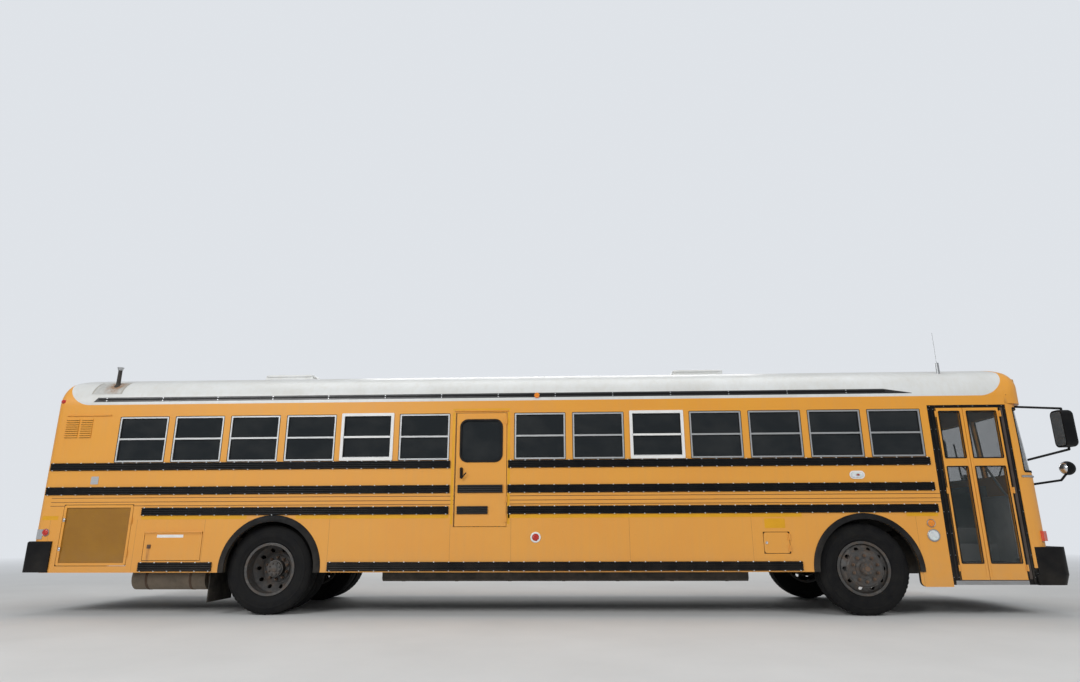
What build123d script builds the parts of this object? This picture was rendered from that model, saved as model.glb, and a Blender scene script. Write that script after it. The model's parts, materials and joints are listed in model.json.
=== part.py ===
from build123d import *
from math import atan2, degrees, sqrt
import os

# School bus of the flat-front, rear-engine kind, in millimetres. +X forward, +Y to the left, +Z up.
# The origin is on the ground, midway between the rear bumper and the tips of the front mirrors.
# A "station" is a distance ahead of the rear axle; at() turns it into X.

TAIL_REACH = 2975.0
MIRROR_REACH = 9600.0
REAR_AXLE_X = (TAIL_REACH - MIRROR_REACH) / 2
WHEELBASE = 6975.0
HALF_WIDTH = 1219.0
WALL = 45.0
RIGHT, LEFT = -1, 1
SEAT_GAP = 0.3
DOOR_GAP = 6.0


def at(station):
    return REAR_AXLE_X + station


# Heights of the side, from the ground.
SKIRT_Z = 480.0
FRONT_SKIRT_Z = 317.0
FLOOR_TOP = 960.0
FLOOR_THICK = 40.0
CROWN_Z = 3000.0
ROOF_CORNER_R = 350.0
ROOF_TOP_R = 3000.0
EAVE_Z = CROWN_Z - ROOF_TOP_R + sqrt((ROOF_TOP_R - ROOF_CORNER_R) ** 2 - (HALF_WIDTH - ROOF_CORNER_R) ** 2)

# Joints between the body's panels, as stations.
REAR_BUMPER_DEPTH = 55.0
REAR_FACE = REAR_BUMPER_DEPTH - TAIL_REACH
REAR_JOINT = REAR_FACE + 160.0
FRONT_JOINT = 8840.0
BODY_LENGTH = FRONT_JOINT - REAR_JOINT
# Solids of the nose start behind its joint, their cuts further back. Cuts in the tail pass its skin.
NOSE_BACK = FRONT_JOINT - 200.0
CUT_BACK = FRONT_JOINT - 400.0
REAR_CUT = (REAR_FACE - 10.0, REAR_FACE + 100.0)
REAR_ROUND = 110.0
REAR_WALL_Z = 560.0

# Front body in plan: a bowed face between two round corners.
NOSE = 9200.0
NOSE_BOW_R = 6000.0
NOSE_CORNER_R = 240.0
NOSE_BOTTOM_Z = 519.0
LEDGE_Z = 1541.0
CAP_Z = 2405.0
CAP_ROUND = 170.0
WINDSHIELD_LEAN = 62.0
WINDSHIELD_EDGE = 8935.0
WINDSHIELD_SILL = 1600.0
WINDSHIELD_HEAD = 2350.0
WINDSHIELD_POST = 50.0
GLASS_THICK = 6.0
GLASS_DEPTH = 12.0

# Side windows: one section is 28 inches.
SECTION = 711.2
WINDOW_W = 622.0
WINDOW_SILL = 1780.0
WINDOW_HEAD = 2345.0
MEETING_RAIL_Z = 2066.0
FRAME_BAR = 20.0
FRAME_DEPTH = 30.0
REAR_RUN_START = -2046.5
FRONT_RUN_START = 2932.5

# Doors and lids in the side: (station of rear edge, station of front edge, bottom, top).
EMERGENCY = (2205.0, 2842.0, 990.0, 2355.0)
EMERGENCY_WINDOW = (2268.0, 2784.0, 1753.0, 2268.0)
EMERGENCY_WINDOW_R = 90.0
ENTRY = (7918.0, 8835.0, 339.0, 2390.0)
ENTRY_POST = 82.0
ENTRY_FRONT_POST = 71.0
ENTRY_HEADER = 30.0
ENTRY_SPLIT = 8330.0
ENTRY_SILL_H = 46.0
LEAF_RIM = 42.0
LEAF_UPPER_Z = 1760.0
LEAF_LOWER_Z = 1657.0
LEAF_FOOT_Z = 573.0
SCREEN = (-2583.0, -1710.0, 554.0, 1270.0)
BATTERY = (-1527.0, -813.0, 614.0, 945.0)
FUEL = (5834.0, 6139.0, 680.0, 924.0)
LID_THICK = 25.0
FUEL_CORNER_R = 30.0
SCREEN_CORNER_R = 24.0
MESH_RIM = 30.0
MESH_THICK = 3.0
DRIVER_WINDOW = (7975.0, 8760.0, 1640.0, 2345.0)

# Wheels.
TYRE_R = 512.0
TYRE_HALF_W = 140.0
TREAD_HALF_W = 112.0
TREAD_DROP = 6.0
SHOULDER_HALF_W = 128.0
SHOULDER_DROP = 37.0
SHOULDER_ROUND = 45.0
SIDEWALL_R = 400.0
BEAD_R = 288.0
BEAD_HALF_W = 104.0
RIM_HALF_W = 116.0
FLANGE_R = 302.0
RIM_THICK = 14.0
DISC_OFFSET = 155.0
DISC_THICK = 12.0
DISC_FLAT_R = 190.0
HAND_HOLES = 10
HAND_HOLE_R = 24.0
FRONT_TYRE_Y = 1020.0
REAR_OUTER_Y = 1010.0
REAR_INNER_Y = 680.0
KINGPIN_Y = 850.0
KINGPIN_R = 22.0
KNUCKLE_R = 45.0
SPINDLE_R = 40.0
REAR_SPINDLE_R = 50.0
RUN_FIT = 0.05
DRUM_R = 210.0

# Wheel arches: (axle station, shift of the arch ahead of it, radius, height of its centre, flare width).
ARCHES = [
    (0.0, 30.0, 540.0, 523.0, 74.0),
    (WHEELBASE, 30.0, 560.0, 505.0, 65.0),
]
FLARE_OUT = 22.0
HOUSING_HALF_L = 640.0
HOUSING_TOP = 1180.0
HOUSING_INNER_Y = 520.0
HOUSING_THICK = 20.0

# Frame and running gear.
RAIL_Y = 432.0
RAIL_WEB = 10.0
RAIL_FLANGE = 76.0
RAIL_TOP = 860.0
RAIL_BOTTOM = 610.0
TANK_R = 190.0
TANK_Z = 665.0

# Rub rails: (rear station, front station, bottom, top).
RAILS = [
    (-2838.0, 2152.0, 1680.0, 1772.0),
    (2858.0, 7858.0, 1680.0, 1772.0),
    (-2843.0, 2153.0, 1385.0, 1480.0),
    (2851.0, 7866.0, 1385.0, 1480.0),
    (-1600.0, 2147.0, 1138.0, 1230.0),
    (2853.0, 7870.0, 1138.0, 1230.0),
    (-1550.0, -662.0, 495.0, 597.0),
    (730.0, 6255.0, 495.0, 597.0),
]
DOOR_RAILS = [
    (2250.0, 2796.0, 1385.0, 1480.0),
    (2248.0, 2616.0, 1138.0, 1230.0),
]
RAIL_OUT = 20.0

os.makedirs("parts", exist_ok=True)


def save(built, name):
    built.part.label = name
    export_step(built.part, f"parts/{name}.step")


def block(x, y, z, mode=Mode.ADD):
    """A box between two stations, two Y values and two heights."""
    with Locations((at((x[0] + x[1]) / 2), (y[0] + y[1]) / 2, (z[0] + z[1]) / 2)):
        Box(abs(x[1] - x[0]), abs(y[1] - y[0]), abs(z[1] - z[0]), mode=mode)


def panel(low, high, bottom, top, mode=Mode.ADD):
    """A rectangle of a side sketch, between two stations and two heights."""
    with Locations((at((low + high) / 2), (bottom + top) / 2)):
        Rectangle(high - low, top - bottom, mode=mode)


def side_plane(side, out=0.0):
    """The plane of a side's skin, moved outwards; its x is X and its y is Z."""
    return Plane.XZ.offset(-side * (HALF_WIDTH + out))


def outward(side, amount):
    """Signed extrude amount that goes outwards from a side plane."""
    return -side * amount


def side_strips(side, rows, out, into=0.0):
    with BuildPart() as strips:
        with BuildSketch(side_plane(side, -into)):
            for low, high, bottom, top in rows:
                panel(low, high, bottom, top)
        extrude(amount=outward(side, out + into))
    return strips.part


def body_section(station, inset, bottom):
    """Outline of the body across a station: walls, round eaves and crowned roof."""
    half = HALF_WIDTH - inset
    top_r = ROOF_TOP_R - inset
    corner_r = ROOF_CORNER_R - inset
    corner_y = HALF_WIDTH - ROOF_CORNER_R
    lean = degrees(atan2(EAVE_Z - CROWN_Z + ROOF_TOP_R, corner_y))
    with BuildSketch(Plane.YZ.offset(at(station))) as section:
        with BuildLine():
            if bottom < EAVE_Z:
                Line((half, bottom), (half, EAVE_Z))
                Line((-half, EAVE_Z), (-half, bottom))
            CenterArc((corner_y, EAVE_Z), corner_r, 0, lean)
            CenterArc((0, CROWN_Z - ROOF_TOP_R), top_r, lean, 180 - 2 * lean)
            CenterArc((-corner_y, EAVE_Z), corner_r, 180 - lean, lean)
            Line((-half, bottom), (half, bottom))
        make_face()
    return section.sketch


def nose_plan(height, inset, back=FRONT_JOINT, nose=NOSE, bow_r=NOSE_BOW_R, corner_r=NOSE_CORNER_R):
    """Outline of the front body in plan: bowed face, round corners, straight sides."""
    half = HALF_WIDTH - inset
    corner_y = HALF_WIDTH - corner_r
    bow_x = at(nose) - bow_r
    corner_x = bow_x + sqrt((bow_r - corner_r) ** 2 - corner_y ** 2)
    turn = degrees(atan2(corner_y, corner_x - bow_x))
    with BuildSketch(Plane.XY.offset(height)) as outline:
        with BuildLine():
            Line((at(back), half), (corner_x, half))
            CenterArc((corner_x, corner_y), corner_r - inset, turn, 90 - turn)
            CenterArc((bow_x, 0), bow_r - inset, -turn, 2 * turn)
            CenterArc((corner_x, -corner_y), corner_r - inset, -90, 90 - turn)
            Line((corner_x, -half), (at(back), -half))
            Line((at(back), -half), (at(back), half))
        make_face()
    return outline.sketch


def run_starts():
    rear = [REAR_RUN_START + SECTION * i for i in range(6)]
    front = [FRONT_RUN_START + SECTION * i for i in range(7)]
    return rear + front


WINDOWS = [(x, x + WINDOW_W, WINDOW_SILL, WINDOW_HEAD) for x in run_starts()]

ENGINE_BAY_FRONT = -1540.0

# Tow eyes under the front bumper: (station, height) of the hole.
TOW_EYE = (9130.0, 388.0)
TOW_EYE_R = 22.0
TOW_EYE_RIM = 44.0
TOW_EYE_THICK = 25.0

# Chassis frame: two channel rails with a tow eye on the front end of each.
STEP_WELL = (7945.0, 8800.0)
CROSS_WIDTH = 60.0
CROSS_STATIONS = [-2600.0, -1500.0, -780.0, 800.0, 1500.0, 2200.0, 2900.0,
                  3600.0, 4300.0, 5000.0, 5700.0, 6250.0, 7700.0, 8750.0]
FRAME_RAILS = (-2850.0, 8900.0)
TOW_PLATE = (8740.0, 8890.0, 8920.0)
with BuildPart() as chassis_frame:
    for side in (RIGHT, LEFT):
        flange = (side * (RAIL_Y - RAIL_FLANGE), side * RAIL_Y)
        block(FRAME_RAILS, (side * (RAIL_Y - RAIL_WEB), side * RAIL_Y), (RAIL_BOTTOM, RAIL_TOP))
        block(FRAME_RAILS, flange, (RAIL_BOTTOM, RAIL_BOTTOM + RAIL_WEB))
        block(FRAME_RAILS, flange, (RAIL_TOP - RAIL_WEB, RAIL_TOP))
    root, shoulder, neck = (at(station) for station in TOW_PLATE)
    eye = at(TOW_EYE[0])
    eye_top, eye_foot = TOW_EYE[1] + TOW_EYE_RIM, TOW_EYE[1] - TOW_EYE_RIM
    for side in (RIGHT, LEFT):
        with BuildSketch(Plane.XZ.offset(-side * RAIL_Y)):
            with BuildLine():
                Polyline((root, RAIL_BOTTOM), (shoulder, RAIL_BOTTOM), (neck, eye_top), (eye, eye_top))
                RadiusArc((eye, eye_top), (eye, eye_foot), TOW_EYE_RIM)
                Polyline((eye, eye_foot), (root, eye_foot), (root, RAIL_BOTTOM))
            make_face()
            with Locations((eye, TOW_EYE[1])):
                Circle(TOW_EYE_R, mode=Mode.SUBTRACT)
        extrude(amount=outward(side, -TOW_EYE_THICK))
save(chassis_frame, "chassis_frame")

# Cross members lie on the rails and carry the floor; over the engine only their outer ends are left.
with BuildPart() as cross_members:
    for station in CROSS_STATIONS:
        reach = HALF_WIDTH - WALL
        low = -RAIL_Y if station > STEP_WELL[0] - CROSS_WIDTH else -reach
        block((station - CROSS_WIDTH / 2, station + CROSS_WIDTH / 2), (low, reach),
              (RAIL_TOP + SEAT_GAP, FLOOR_TOP - FLOOR_THICK))
    block((REAR_FACE, ENGINE_BAY_FRONT), (-RAIL_Y + RAIL_FLANGE, RAIL_Y - RAIL_FLANGE),
          (RAIL_TOP, FLOOR_TOP - FLOOR_THICK), mode=Mode.SUBTRACT)
save(cross_members, "cross_members")

# Floor plate, open where the wheel housings and the step well are.
STEP_INNER_Y = -445.0
PLATFORM_Z = 1300.0
FLOOR_HALF = HALF_WIDTH - WALL


def housings(grow, bottom, top, mode=Mode.ADD):
    """A box over each wheel arch, grown outwards by a wall thickness."""
    for arch in ARCHES:
        for side in (RIGHT, LEFT):
            block((arch[0] - HOUSING_HALF_L - grow, arch[0] + HOUSING_HALF_L + grow),
                  (side * (HOUSING_INNER_Y - grow), side * FLOOR_HALF), (bottom, top), mode=mode)


with BuildPart() as floor:
    block((ENGINE_BAY_FRONT, FRONT_JOINT), (-FLOOR_HALF, FLOOR_HALF), (FLOOR_TOP - FLOOR_THICK, FLOOR_TOP))
    housings(HOUSING_THICK, FLOOR_TOP - FLOOR_THICK, FLOOR_TOP, mode=Mode.SUBTRACT)
    block(STEP_WELL, (-FLOOR_HALF, STEP_INNER_Y), (FLOOR_TOP - FLOOR_THICK, FLOOR_TOP), mode=Mode.SUBTRACT)
save(floor, "floor")

# Raised floor: the wheel housings, and the platform over the engine with the riser in front of it.
with BuildPart() as raised_floor:
    housings(HOUSING_THICK, FLOOR_TOP - FLOOR_THICK, HOUSING_TOP + HOUSING_THICK)
    housings(0, FLOOR_TOP - FLOOR_THICK, HOUSING_TOP, mode=Mode.SUBTRACT)
    block((REAR_FACE + REAR_ROUND, ENGINE_BAY_FRONT + FLOOR_THICK), (-FLOOR_HALF, FLOOR_HALF),
          (PLATFORM_Z - FLOOR_THICK, PLATFORM_Z))
    block((ENGINE_BAY_FRONT, ENGINE_BAY_FRONT + FLOOR_THICK), (-FLOOR_HALF, FLOOR_HALF),
          (FLOOR_TOP, PLATFORM_Z - FLOOR_THICK))
save(raised_floor, "raised_floor")

# Step well: a stair of three treads from the sill up to the floor.
STEP_RISE = (FLOOR_TOP - ENTRY[2]) / 3
TREAD_DEPTH = 250.0
STEP_THICK = 20.0
with BuildPart() as step_well:
    edge = -(HALF_WIDTH - WALL)
    with BuildSketch(Plane.YZ.offset(at(STEP_WELL[0]))):
        for i in range(3):
            near = edge + TREAD_DEPTH * i
            far = near + TREAD_DEPTH if i < 2 else STEP_INNER_Y
            level = ENTRY[2] + STEP_RISE * i
            with Locations(((near + far) / 2, level + STEP_THICK / 2)):
                Rectangle(far - near, STEP_THICK)
            with Locations((far - STEP_THICK / 2, level + STEP_RISE / 2 + STEP_THICK / 2)):
                Rectangle(STEP_THICK, STEP_RISE + (STEP_THICK if i < 2 else -STEP_THICK))
    extrude(amount=STEP_WELL[1] - STEP_WELL[0])
    for low in (STEP_WELL[0], STEP_WELL[1] - STEP_THICK):
        block((low, low + STEP_THICK), (edge, STEP_INNER_Y), (ENTRY[2], FLOOR_TOP))
save(step_well, "step_well")


def arch_hole(mode):
    for axle, shift, radius, height, flare in ARCHES:
        with Locations((at(axle + shift), height)):
            Circle(radius, mode=mode)
        panel(axle + shift - radius, axle + shift + radius, 0, height, mode=mode)


# Pressed detail of the side: grooves, louvers over the rear panel and a drip moulding above them.
GROOVES = [1253.0, 1298.0, 1348.0]
GROOVE_SPAN = (-1600.0, 7870.0)
GROOVE_H = 9.0
GROOVE_DEEP = 4.0
LOUVER_COLUMNS = [(-2743.0, -2575.0), (-2550.0, -2400.0)]
LOUVER_ROWS = 9
LOUVER_Z = (2093.0, 2338.0)
LOUVER_OUT = 11.0
DRIPS = [(-2742.0, -2172.0, 2363.0), (2190.0, 2857.0, 2372.0)]
DRIP_H = 9.0
DRIP_OUT = 14.0
FRONT_SKIRT_START = 7560.0
SKIRT_CORNER_R = 60.0


def louver_bank(side, columns, rows, bottom, top, out, face):
    """Hooded louvers on a side's skin: each is a wedge that is deepest at its lower edge."""
    pitch = (top - bottom) / rows
    with BuildPart() as bank:
        for low, high in columns:
            with BuildSketch(Plane.YZ.offset(at(low))):
                for i in range(rows):
                    foot = bottom + pitch * i
                    with BuildLine():
                        Polyline((side * face, foot), (side * (face + out), foot),
                                 (side * face, foot + 0.8 * pitch),
                                 (side * face, foot))
                    make_face()
            extrude(amount=high - low)
    return bank.part


def side_wall(side):
    with BuildPart() as wall:
        with BuildSketch(side_plane(side)):
            if side == RIGHT:
                panel(REAR_JOINT, ENTRY[0], SKIRT_Z, EAVE_Z)
                panel(ENTRY[0], FRONT_JOINT, ENTRY[3], EAVE_Z)
                panel(FRONT_SKIRT_START, ENTRY[0], FRONT_SKIRT_Z, SKIRT_Z)
                holes = [SCREEN, BATTERY, FUEL, EMERGENCY]
            else:
                panel(REAR_JOINT, FRONT_JOINT, SKIRT_Z, EAVE_Z)
                panel(FRONT_SKIRT_START, FRONT_JOINT, FRONT_SKIRT_Z, SKIRT_Z)
                holes = [SCREEN, EMERGENCY, DRIVER_WINDOW]
            arch_hole(Mode.SUBTRACT)
            for low, high, bottom, top in WINDOWS + holes:
                panel(low, high, bottom, top, mode=Mode.SUBTRACT)
        extrude(amount=outward(side, -WALL))
        skirt_end = wall.edges().filter_by(Axis.Y).group_by(Axis.Z)[0].sort_by(Axis.X)[0]
        fillet(skirt_end, radius=SKIRT_CORNER_R)
        with BuildSketch(side_plane(side)):
            for height in GROOVES:
                panel(GROOVE_SPAN[0], GROOVE_SPAN[1], height - GROOVE_H / 2, height + GROOVE_H / 2)
        extrude(amount=outward(side, -GROOVE_DEEP), mode=Mode.SUBTRACT)
        add(louver_bank(side, LOUVER_COLUMNS, LOUVER_ROWS, *LOUVER_Z, LOUVER_OUT, HALF_WIDTH))
        drips = [(low, high, height, height + DRIP_H) for low, high, height in DRIPS]
        add(side_strips(side, drips, DRIP_OUT))
    return wall


save(side_wall(RIGHT), "side_wall_right")
save(side_wall(LEFT), "side_wall_left")

# Roof: an arched shell with two square hatch openings and their raised collars.
HATCHES = [-312.0, 5380.0]
HATCH_HALF = 300.0
HATCH_COLLAR = 30.0
HATCH_RISE = 35.0
ROOF_THICK = 45.0
with BuildPart() as roof:
    extrude(body_section(REAR_JOINT, 0, EAVE_Z), amount=BODY_LENGTH)
    for station in HATCHES:
        reach = HATCH_HALF + HATCH_COLLAR
        block((station - reach, station + reach), (-reach, reach), (CROWN_Z - 200, CROWN_Z + HATCH_RISE))
    extrude(body_section(REAR_JOINT, ROOF_THICK, EAVE_Z - 10), amount=BODY_LENGTH, mode=Mode.SUBTRACT)
    for station in HATCHES:
        block((station - HATCH_HALF, station + HATCH_HALF), (-HATCH_HALF, HATCH_HALF), (CAP_Z, CROWN_Z + 200),
              mode=Mode.SUBTRACT)
save(roof, "roof")

HATCH_LID = 30.0
HATCH_LIP = 12.0
HATCH_CORNER_R = 60.0
HATCH_EDGE_R = 18.0
HATCH_DOME = 220.0
HATCH_DOME_RISE = 16.0
HATCH_DOME_TAPER = 50.0
for name, station in zip(("roof_hatch_rear", "roof_hatch_front"), HATCHES):
    with BuildPart() as hatch:
        reach = HATCH_HALF + HATCH_COLLAR + HATCH_LIP
        base = CROWN_Z + HATCH_RISE + SEAT_GAP
        block((station - reach, station + reach), (-reach, reach), (base, base + HATCH_LID))
        fillet(hatch.edges().filter_by(Axis.Z), radius=HATCH_CORNER_R)
        fillet(hatch.faces().sort_by(Axis.Z)[-1].edges(), radius=HATCH_EDGE_R)
        with BuildSketch(Plane.XY.offset(base + HATCH_LID)):
            with Locations((at(station), 0)):
                RectangleRounded(2 * HATCH_DOME, 2 * HATCH_DOME, HATCH_CORNER_R)
        extrude(amount=HATCH_DOME_RISE, taper=HATCH_DOME_TAPER)
    save(hatch, name)

# Front panel below the ledge, and leaning windshield posts and header above it.
UPRIGHT = (0, 0, 1)
LEANING = (-WINDSHIELD_LEAN, 0, CAP_Z - LEDGE_Z)
LEANING_LENGTH = sqrt(WINDSHIELD_LEAN ** 2 + (CAP_Z - LEDGE_Z) ** 2)
with BuildPart() as front_panel:
    extrude(nose_plan(NOSE_BOTTOM_Z, 0), amount=LEDGE_Z - NOSE_BOTTOM_Z)
    extrude(nose_plan(LEDGE_Z, 0, NOSE_BACK), amount=LEANING_LENGTH, dir=LEANING)
    extrude(nose_plan(NOSE_BOTTOM_Z, WALL, NOSE_BACK), amount=LEDGE_Z - NOSE_BOTTOM_Z, mode=Mode.SUBTRACT)
    extrude(nose_plan(LEDGE_Z, WALL, CUT_BACK), amount=LEANING_LENGTH, dir=LEANING, mode=Mode.SUBTRACT)
    block((FRONT_JOINT - 500, FRONT_JOINT), (-2000, 2000), (0, 3000), mode=Mode.SUBTRACT)
    for side in (RIGHT, LEFT):
        block((WINDSHIELD_EDGE, NOSE + 200), (side * WINDSHIELD_POST / 2, side * 1300),
              (WINDSHIELD_SILL, WINDSHIELD_HEAD), mode=Mode.SUBTRACT)
save(front_panel, "front_panel")

with BuildPart() as windshield:
    extrude(nose_plan(LEDGE_Z, GLASS_DEPTH, NOSE_BACK), amount=LEANING_LENGTH, dir=LEANING)
    extrude(nose_plan(LEDGE_Z, GLASS_DEPTH + GLASS_THICK, CUT_BACK), amount=LEANING_LENGTH, dir=LEANING,
            mode=Mode.SUBTRACT)
    with BuildSketch(Plane.YZ.offset(at(WINDSHIELD_EDGE))):
        for side in (RIGHT, LEFT):
            width = HALF_WIDTH - WINDSHIELD_POST / 2
            with Locations((side * (WINDSHIELD_POST + width) / 2, (WINDSHIELD_SILL + WINDSHIELD_HEAD) / 2)):
                Rectangle(width, WINDSHIELD_HEAD - WINDSHIELD_SILL)
    extrude(amount=500, mode=Mode.INTERSECT)
save(windshield, "windshield")


# Front cap: the roof's section cut to the bowed plan, with a rounded brow.
def cap_solid(inset):
    with BuildPart() as shape:
        extrude(body_section(FRONT_JOINT, inset, CAP_Z), amount=600)
        extrude(nose_plan(CAP_Z, inset), amount=800, mode=Mode.INTERSECT)
        brow = shape.edges().filter_by(GeomType.BSPLINE)
        fillet(brow, radius=CAP_ROUND - inset)
    return shape


# Lamp boards on both caps: distances from the middle, heights, and how far the front ones reach ahead.
LAMP_BOARD = (500.0, 1060.0, 2505.0, 2735.0)
LAMP_BOARD_FACE = 9190.0
LAMP_BOARD_R = 30.0
LAMP_BOARD_SINK = 130.0
WARNING_LAMPS = [(640.0, "amber"), (915.0, "red")]
WARNING_R = 90.0

with BuildPart() as front_cap:
    add(cap_solid(0).part)
    for side in (RIGHT, LEFT):
        with BuildSketch(Plane.YZ.offset(at(LAMP_BOARD_FACE))):
            with Locations((side * (LAMP_BOARD[0] + LAMP_BOARD[1]) / 2, (LAMP_BOARD[2] + LAMP_BOARD[3]) / 2)):
                RectangleRounded(LAMP_BOARD[1] - LAMP_BOARD[0], LAMP_BOARD[3] - LAMP_BOARD[2], LAMP_BOARD_R)
        extrude(amount=LAMP_BOARD_FACE - NOSE - LAMP_BOARD_SINK)
    add(cap_solid(WALL).part, mode=Mode.SUBTRACT)
save(front_cap, "front_cap")

# Rear wall: the body's section closed at the back, with rounded edges, a window and the engine door's hole.
REAR_WINDOW = (700.0, 1800.0, 2300.0)
ENGINE_DOOR = (880.0, 850.0, 1500.0)


def rear_solid(inset, round_r):
    with BuildPart() as shape:
        extrude(body_section(REAR_FACE + inset, inset, REAR_WALL_Z), amount=REAR_JOINT - REAR_FACE - inset)
        rim = shape.faces().sort_by(Axis.X)[0].edges()
        rim = [e for e in rim if e.center().Z > REAR_WALL_Z + 1]
        fillet(rim, radius=round_r)
    return shape


with BuildPart() as rear_wall:
    add(rear_solid(0, REAR_ROUND).part)
    add(rear_solid(WALL, REAR_ROUND - WALL).part, mode=Mode.SUBTRACT)
    block(REAR_CUT, (-REAR_WINDOW[0], REAR_WINDOW[0]), (REAR_WINDOW[1], REAR_WINDOW[2]),
          mode=Mode.SUBTRACT)
    block(REAR_CUT, (-ENGINE_DOOR[0], ENGINE_DOOR[0]), (ENGINE_DOOR[1], ENGINE_DOOR[2]),
          mode=Mode.SUBTRACT)
save(rear_wall, "rear_wall")

# Rub rails: black channels with four rounded ribs along their face.
RAIL_RIBS = 4
RAIL_WEB_OUT = 12.0


def rail_section(side, station, bottom, top):
    pitch = (top - bottom) / RAIL_RIBS
    rib_r = 0.42 * pitch
    with BuildSketch(Plane.YZ.offset(at(station))) as section:
        with Locations((side * (HALF_WIDTH + RAIL_WEB_OUT / 2), (bottom + top) / 2)):
            Rectangle(RAIL_WEB_OUT, top - bottom)
        for i in range(RAIL_RIBS):
            with Locations((side * (HALF_WIDTH + RAIL_WEB_OUT), bottom + pitch * (i + 0.5))):
                Ellipse(RAIL_OUT - RAIL_WEB_OUT, rib_r)
    return section.sketch


def rail_set(side, rows):
    with BuildPart() as rails:
        for low, high, bottom, top in rows:
            extrude(rail_section(side, low, bottom, top), amount=high - low)
    return rails.part


with BuildPart() as rub_rails:
    add(rail_set(RIGHT, RAILS))
    add(rail_set(LEFT, RAILS))
save(rub_rails, "rub_rails")


# Window frames: a ring and a meeting rail in each opening, set back from the skin.
def side_frames(side, rows):
    with BuildPart() as frames:
        with BuildSketch(side_plane(side)):
            for low, high, bottom, top in rows:
                panel(low, high, bottom, top)
                panel(low + FRAME_BAR, high - FRAME_BAR, bottom + FRAME_BAR, MEETING_RAIL_Z - FRAME_BAR / 2,
                      mode=Mode.SUBTRACT)
                panel(low + FRAME_BAR, high - FRAME_BAR, MEETING_RAIL_Z + FRAME_BAR / 2, top - FRAME_BAR,
                      mode=Mode.SUBTRACT)
        extrude(amount=outward(side, -FRAME_DEPTH))
    return frames.part


def side_glass(side, rows):
    with BuildPart() as panes:
        with BuildSketch(side_plane(side, -FRAME_DEPTH / 2)):
            for low, high, bottom, top in rows:
                panel(low + FRAME_BAR, high - FRAME_BAR, bottom + FRAME_BAR, MEETING_RAIL_Z - FRAME_BAR / 2)
                panel(low + FRAME_BAR, high - FRAME_BAR, MEETING_RAIL_Z + FRAME_BAR / 2, top - FRAME_BAR)
        extrude(amount=outward(side, -GLASS_THICK))
    return panes.part


# Two push-out exits on each side have a wider frame that stands proud of the skin: (index of the window).
EXITS = [4, 8]
EXIT_PROUD = 12.0
EXIT_LAP = 14.0


def exit_rims(side):
    with BuildPart() as rims:
        with BuildSketch(side_plane(side)):
            for index in EXITS:
                low, high, bottom, top = WINDOWS[index]
                panel(low - EXIT_LAP, high + EXIT_LAP, bottom + EXIT_LAP, top + EXIT_LAP)
                panel(low + FRAME_BAR, high - FRAME_BAR, bottom + 2 * FRAME_BAR,
                      MEETING_RAIL_Z - FRAME_BAR / 2,
                      mode=Mode.SUBTRACT)
                panel(low + FRAME_BAR, high - FRAME_BAR, MEETING_RAIL_Z + FRAME_BAR / 2, top - FRAME_BAR,
                      mode=Mode.SUBTRACT)
        extrude(amount=outward(side, EXIT_PROUD))
    return rims.part


with BuildPart() as window_frames:
    add(side_frames(RIGHT, WINDOWS))
    add(side_frames(LEFT, WINDOWS + [DRIVER_WINDOW]))
    for side in (RIGHT, LEFT):
        add(exit_rims(side))
    block((REAR_FACE + 5, REAR_FACE + FRAME_DEPTH), (-REAR_WINDOW[0], REAR_WINDOW[0]), REAR_WINDOW[1:])
    block((REAR_FACE + 5, REAR_FACE + FRAME_DEPTH), (-REAR_WINDOW[0] + FRAME_BAR, REAR_WINDOW[0] - FRAME_BAR),
          (REAR_WINDOW[1] + FRAME_BAR, REAR_WINDOW[2] - FRAME_BAR), mode=Mode.SUBTRACT)
save(window_frames, "window_frames")

with BuildPart() as window_glass:
    add(side_glass(RIGHT, WINDOWS))
    add(side_glass(LEFT, WINDOWS + [DRIVER_WINDOW]))
    block((REAR_FACE + 12, REAR_FACE + 12 + GLASS_THICK),
          (-REAR_WINDOW[0] + FRAME_BAR, REAR_WINDOW[0] - FRAME_BAR),
          (REAR_WINDOW[1] + FRAME_BAR, REAR_WINDOW[2] - FRAME_BAR))
save(window_glass, "window_glass")


HINGE_R = 9.0
HINGE_LENGTH = 70.0
HINGE_LEAF = 5.0
ENGINE_HINGE_HALF = 700.0

# Louvers of the engine door on each side: inner and outer distance from the middle, bottom, top.
ENGINE_LOUVERS = (90.0, 740.0, 900.0, 1380.0)
ENGINE_LOUVER_ROWS = 10


def side_hinges(side, station, heights):
    """Upright hinge barrels that stand just clear of the skin, over the gap at a door's edge."""
    with BuildPart() as barrels:
        for height in heights:
            with Locations((at(station), side * (HALF_WIDTH + HINGE_R + SEAT_GAP), height)):
                Cylinder(HINGE_R, HINGE_LENGTH)
    return barrels.part


def hinge_leaf(side, near, far, heights):
    """Flat hinge leaves on a door's face, from its barrel inwards."""
    with BuildPart() as plates:
        with BuildSketch(side_plane(side)):
            for height in heights:
                panel(min(near, far), max(near, far), height - HINGE_LENGTH / 2, height + HINGE_LENGTH / 2)
        extrude(amount=outward(side, HINGE_LEAF))
    return plates.part


# Hinged panels in the side walls.
def opening_panel(side, spec, thick, gap=DOOR_GAP, corner_r=0.0):
    low, high, bottom, top = spec
    with BuildPart() as leaf:
        with BuildSketch(side_plane(side)):
            with Locations((at((low + high) / 2), (bottom + top) / 2)):
                if corner_r:
                    RectangleRounded(high - low - 2 * gap, top - bottom - 2 * gap, corner_r)
                else:
                    Rectangle(high - low - 2 * gap, top - bottom - 2 * gap)
        extrude(amount=outward(side, -thick))
    return leaf.part


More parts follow.
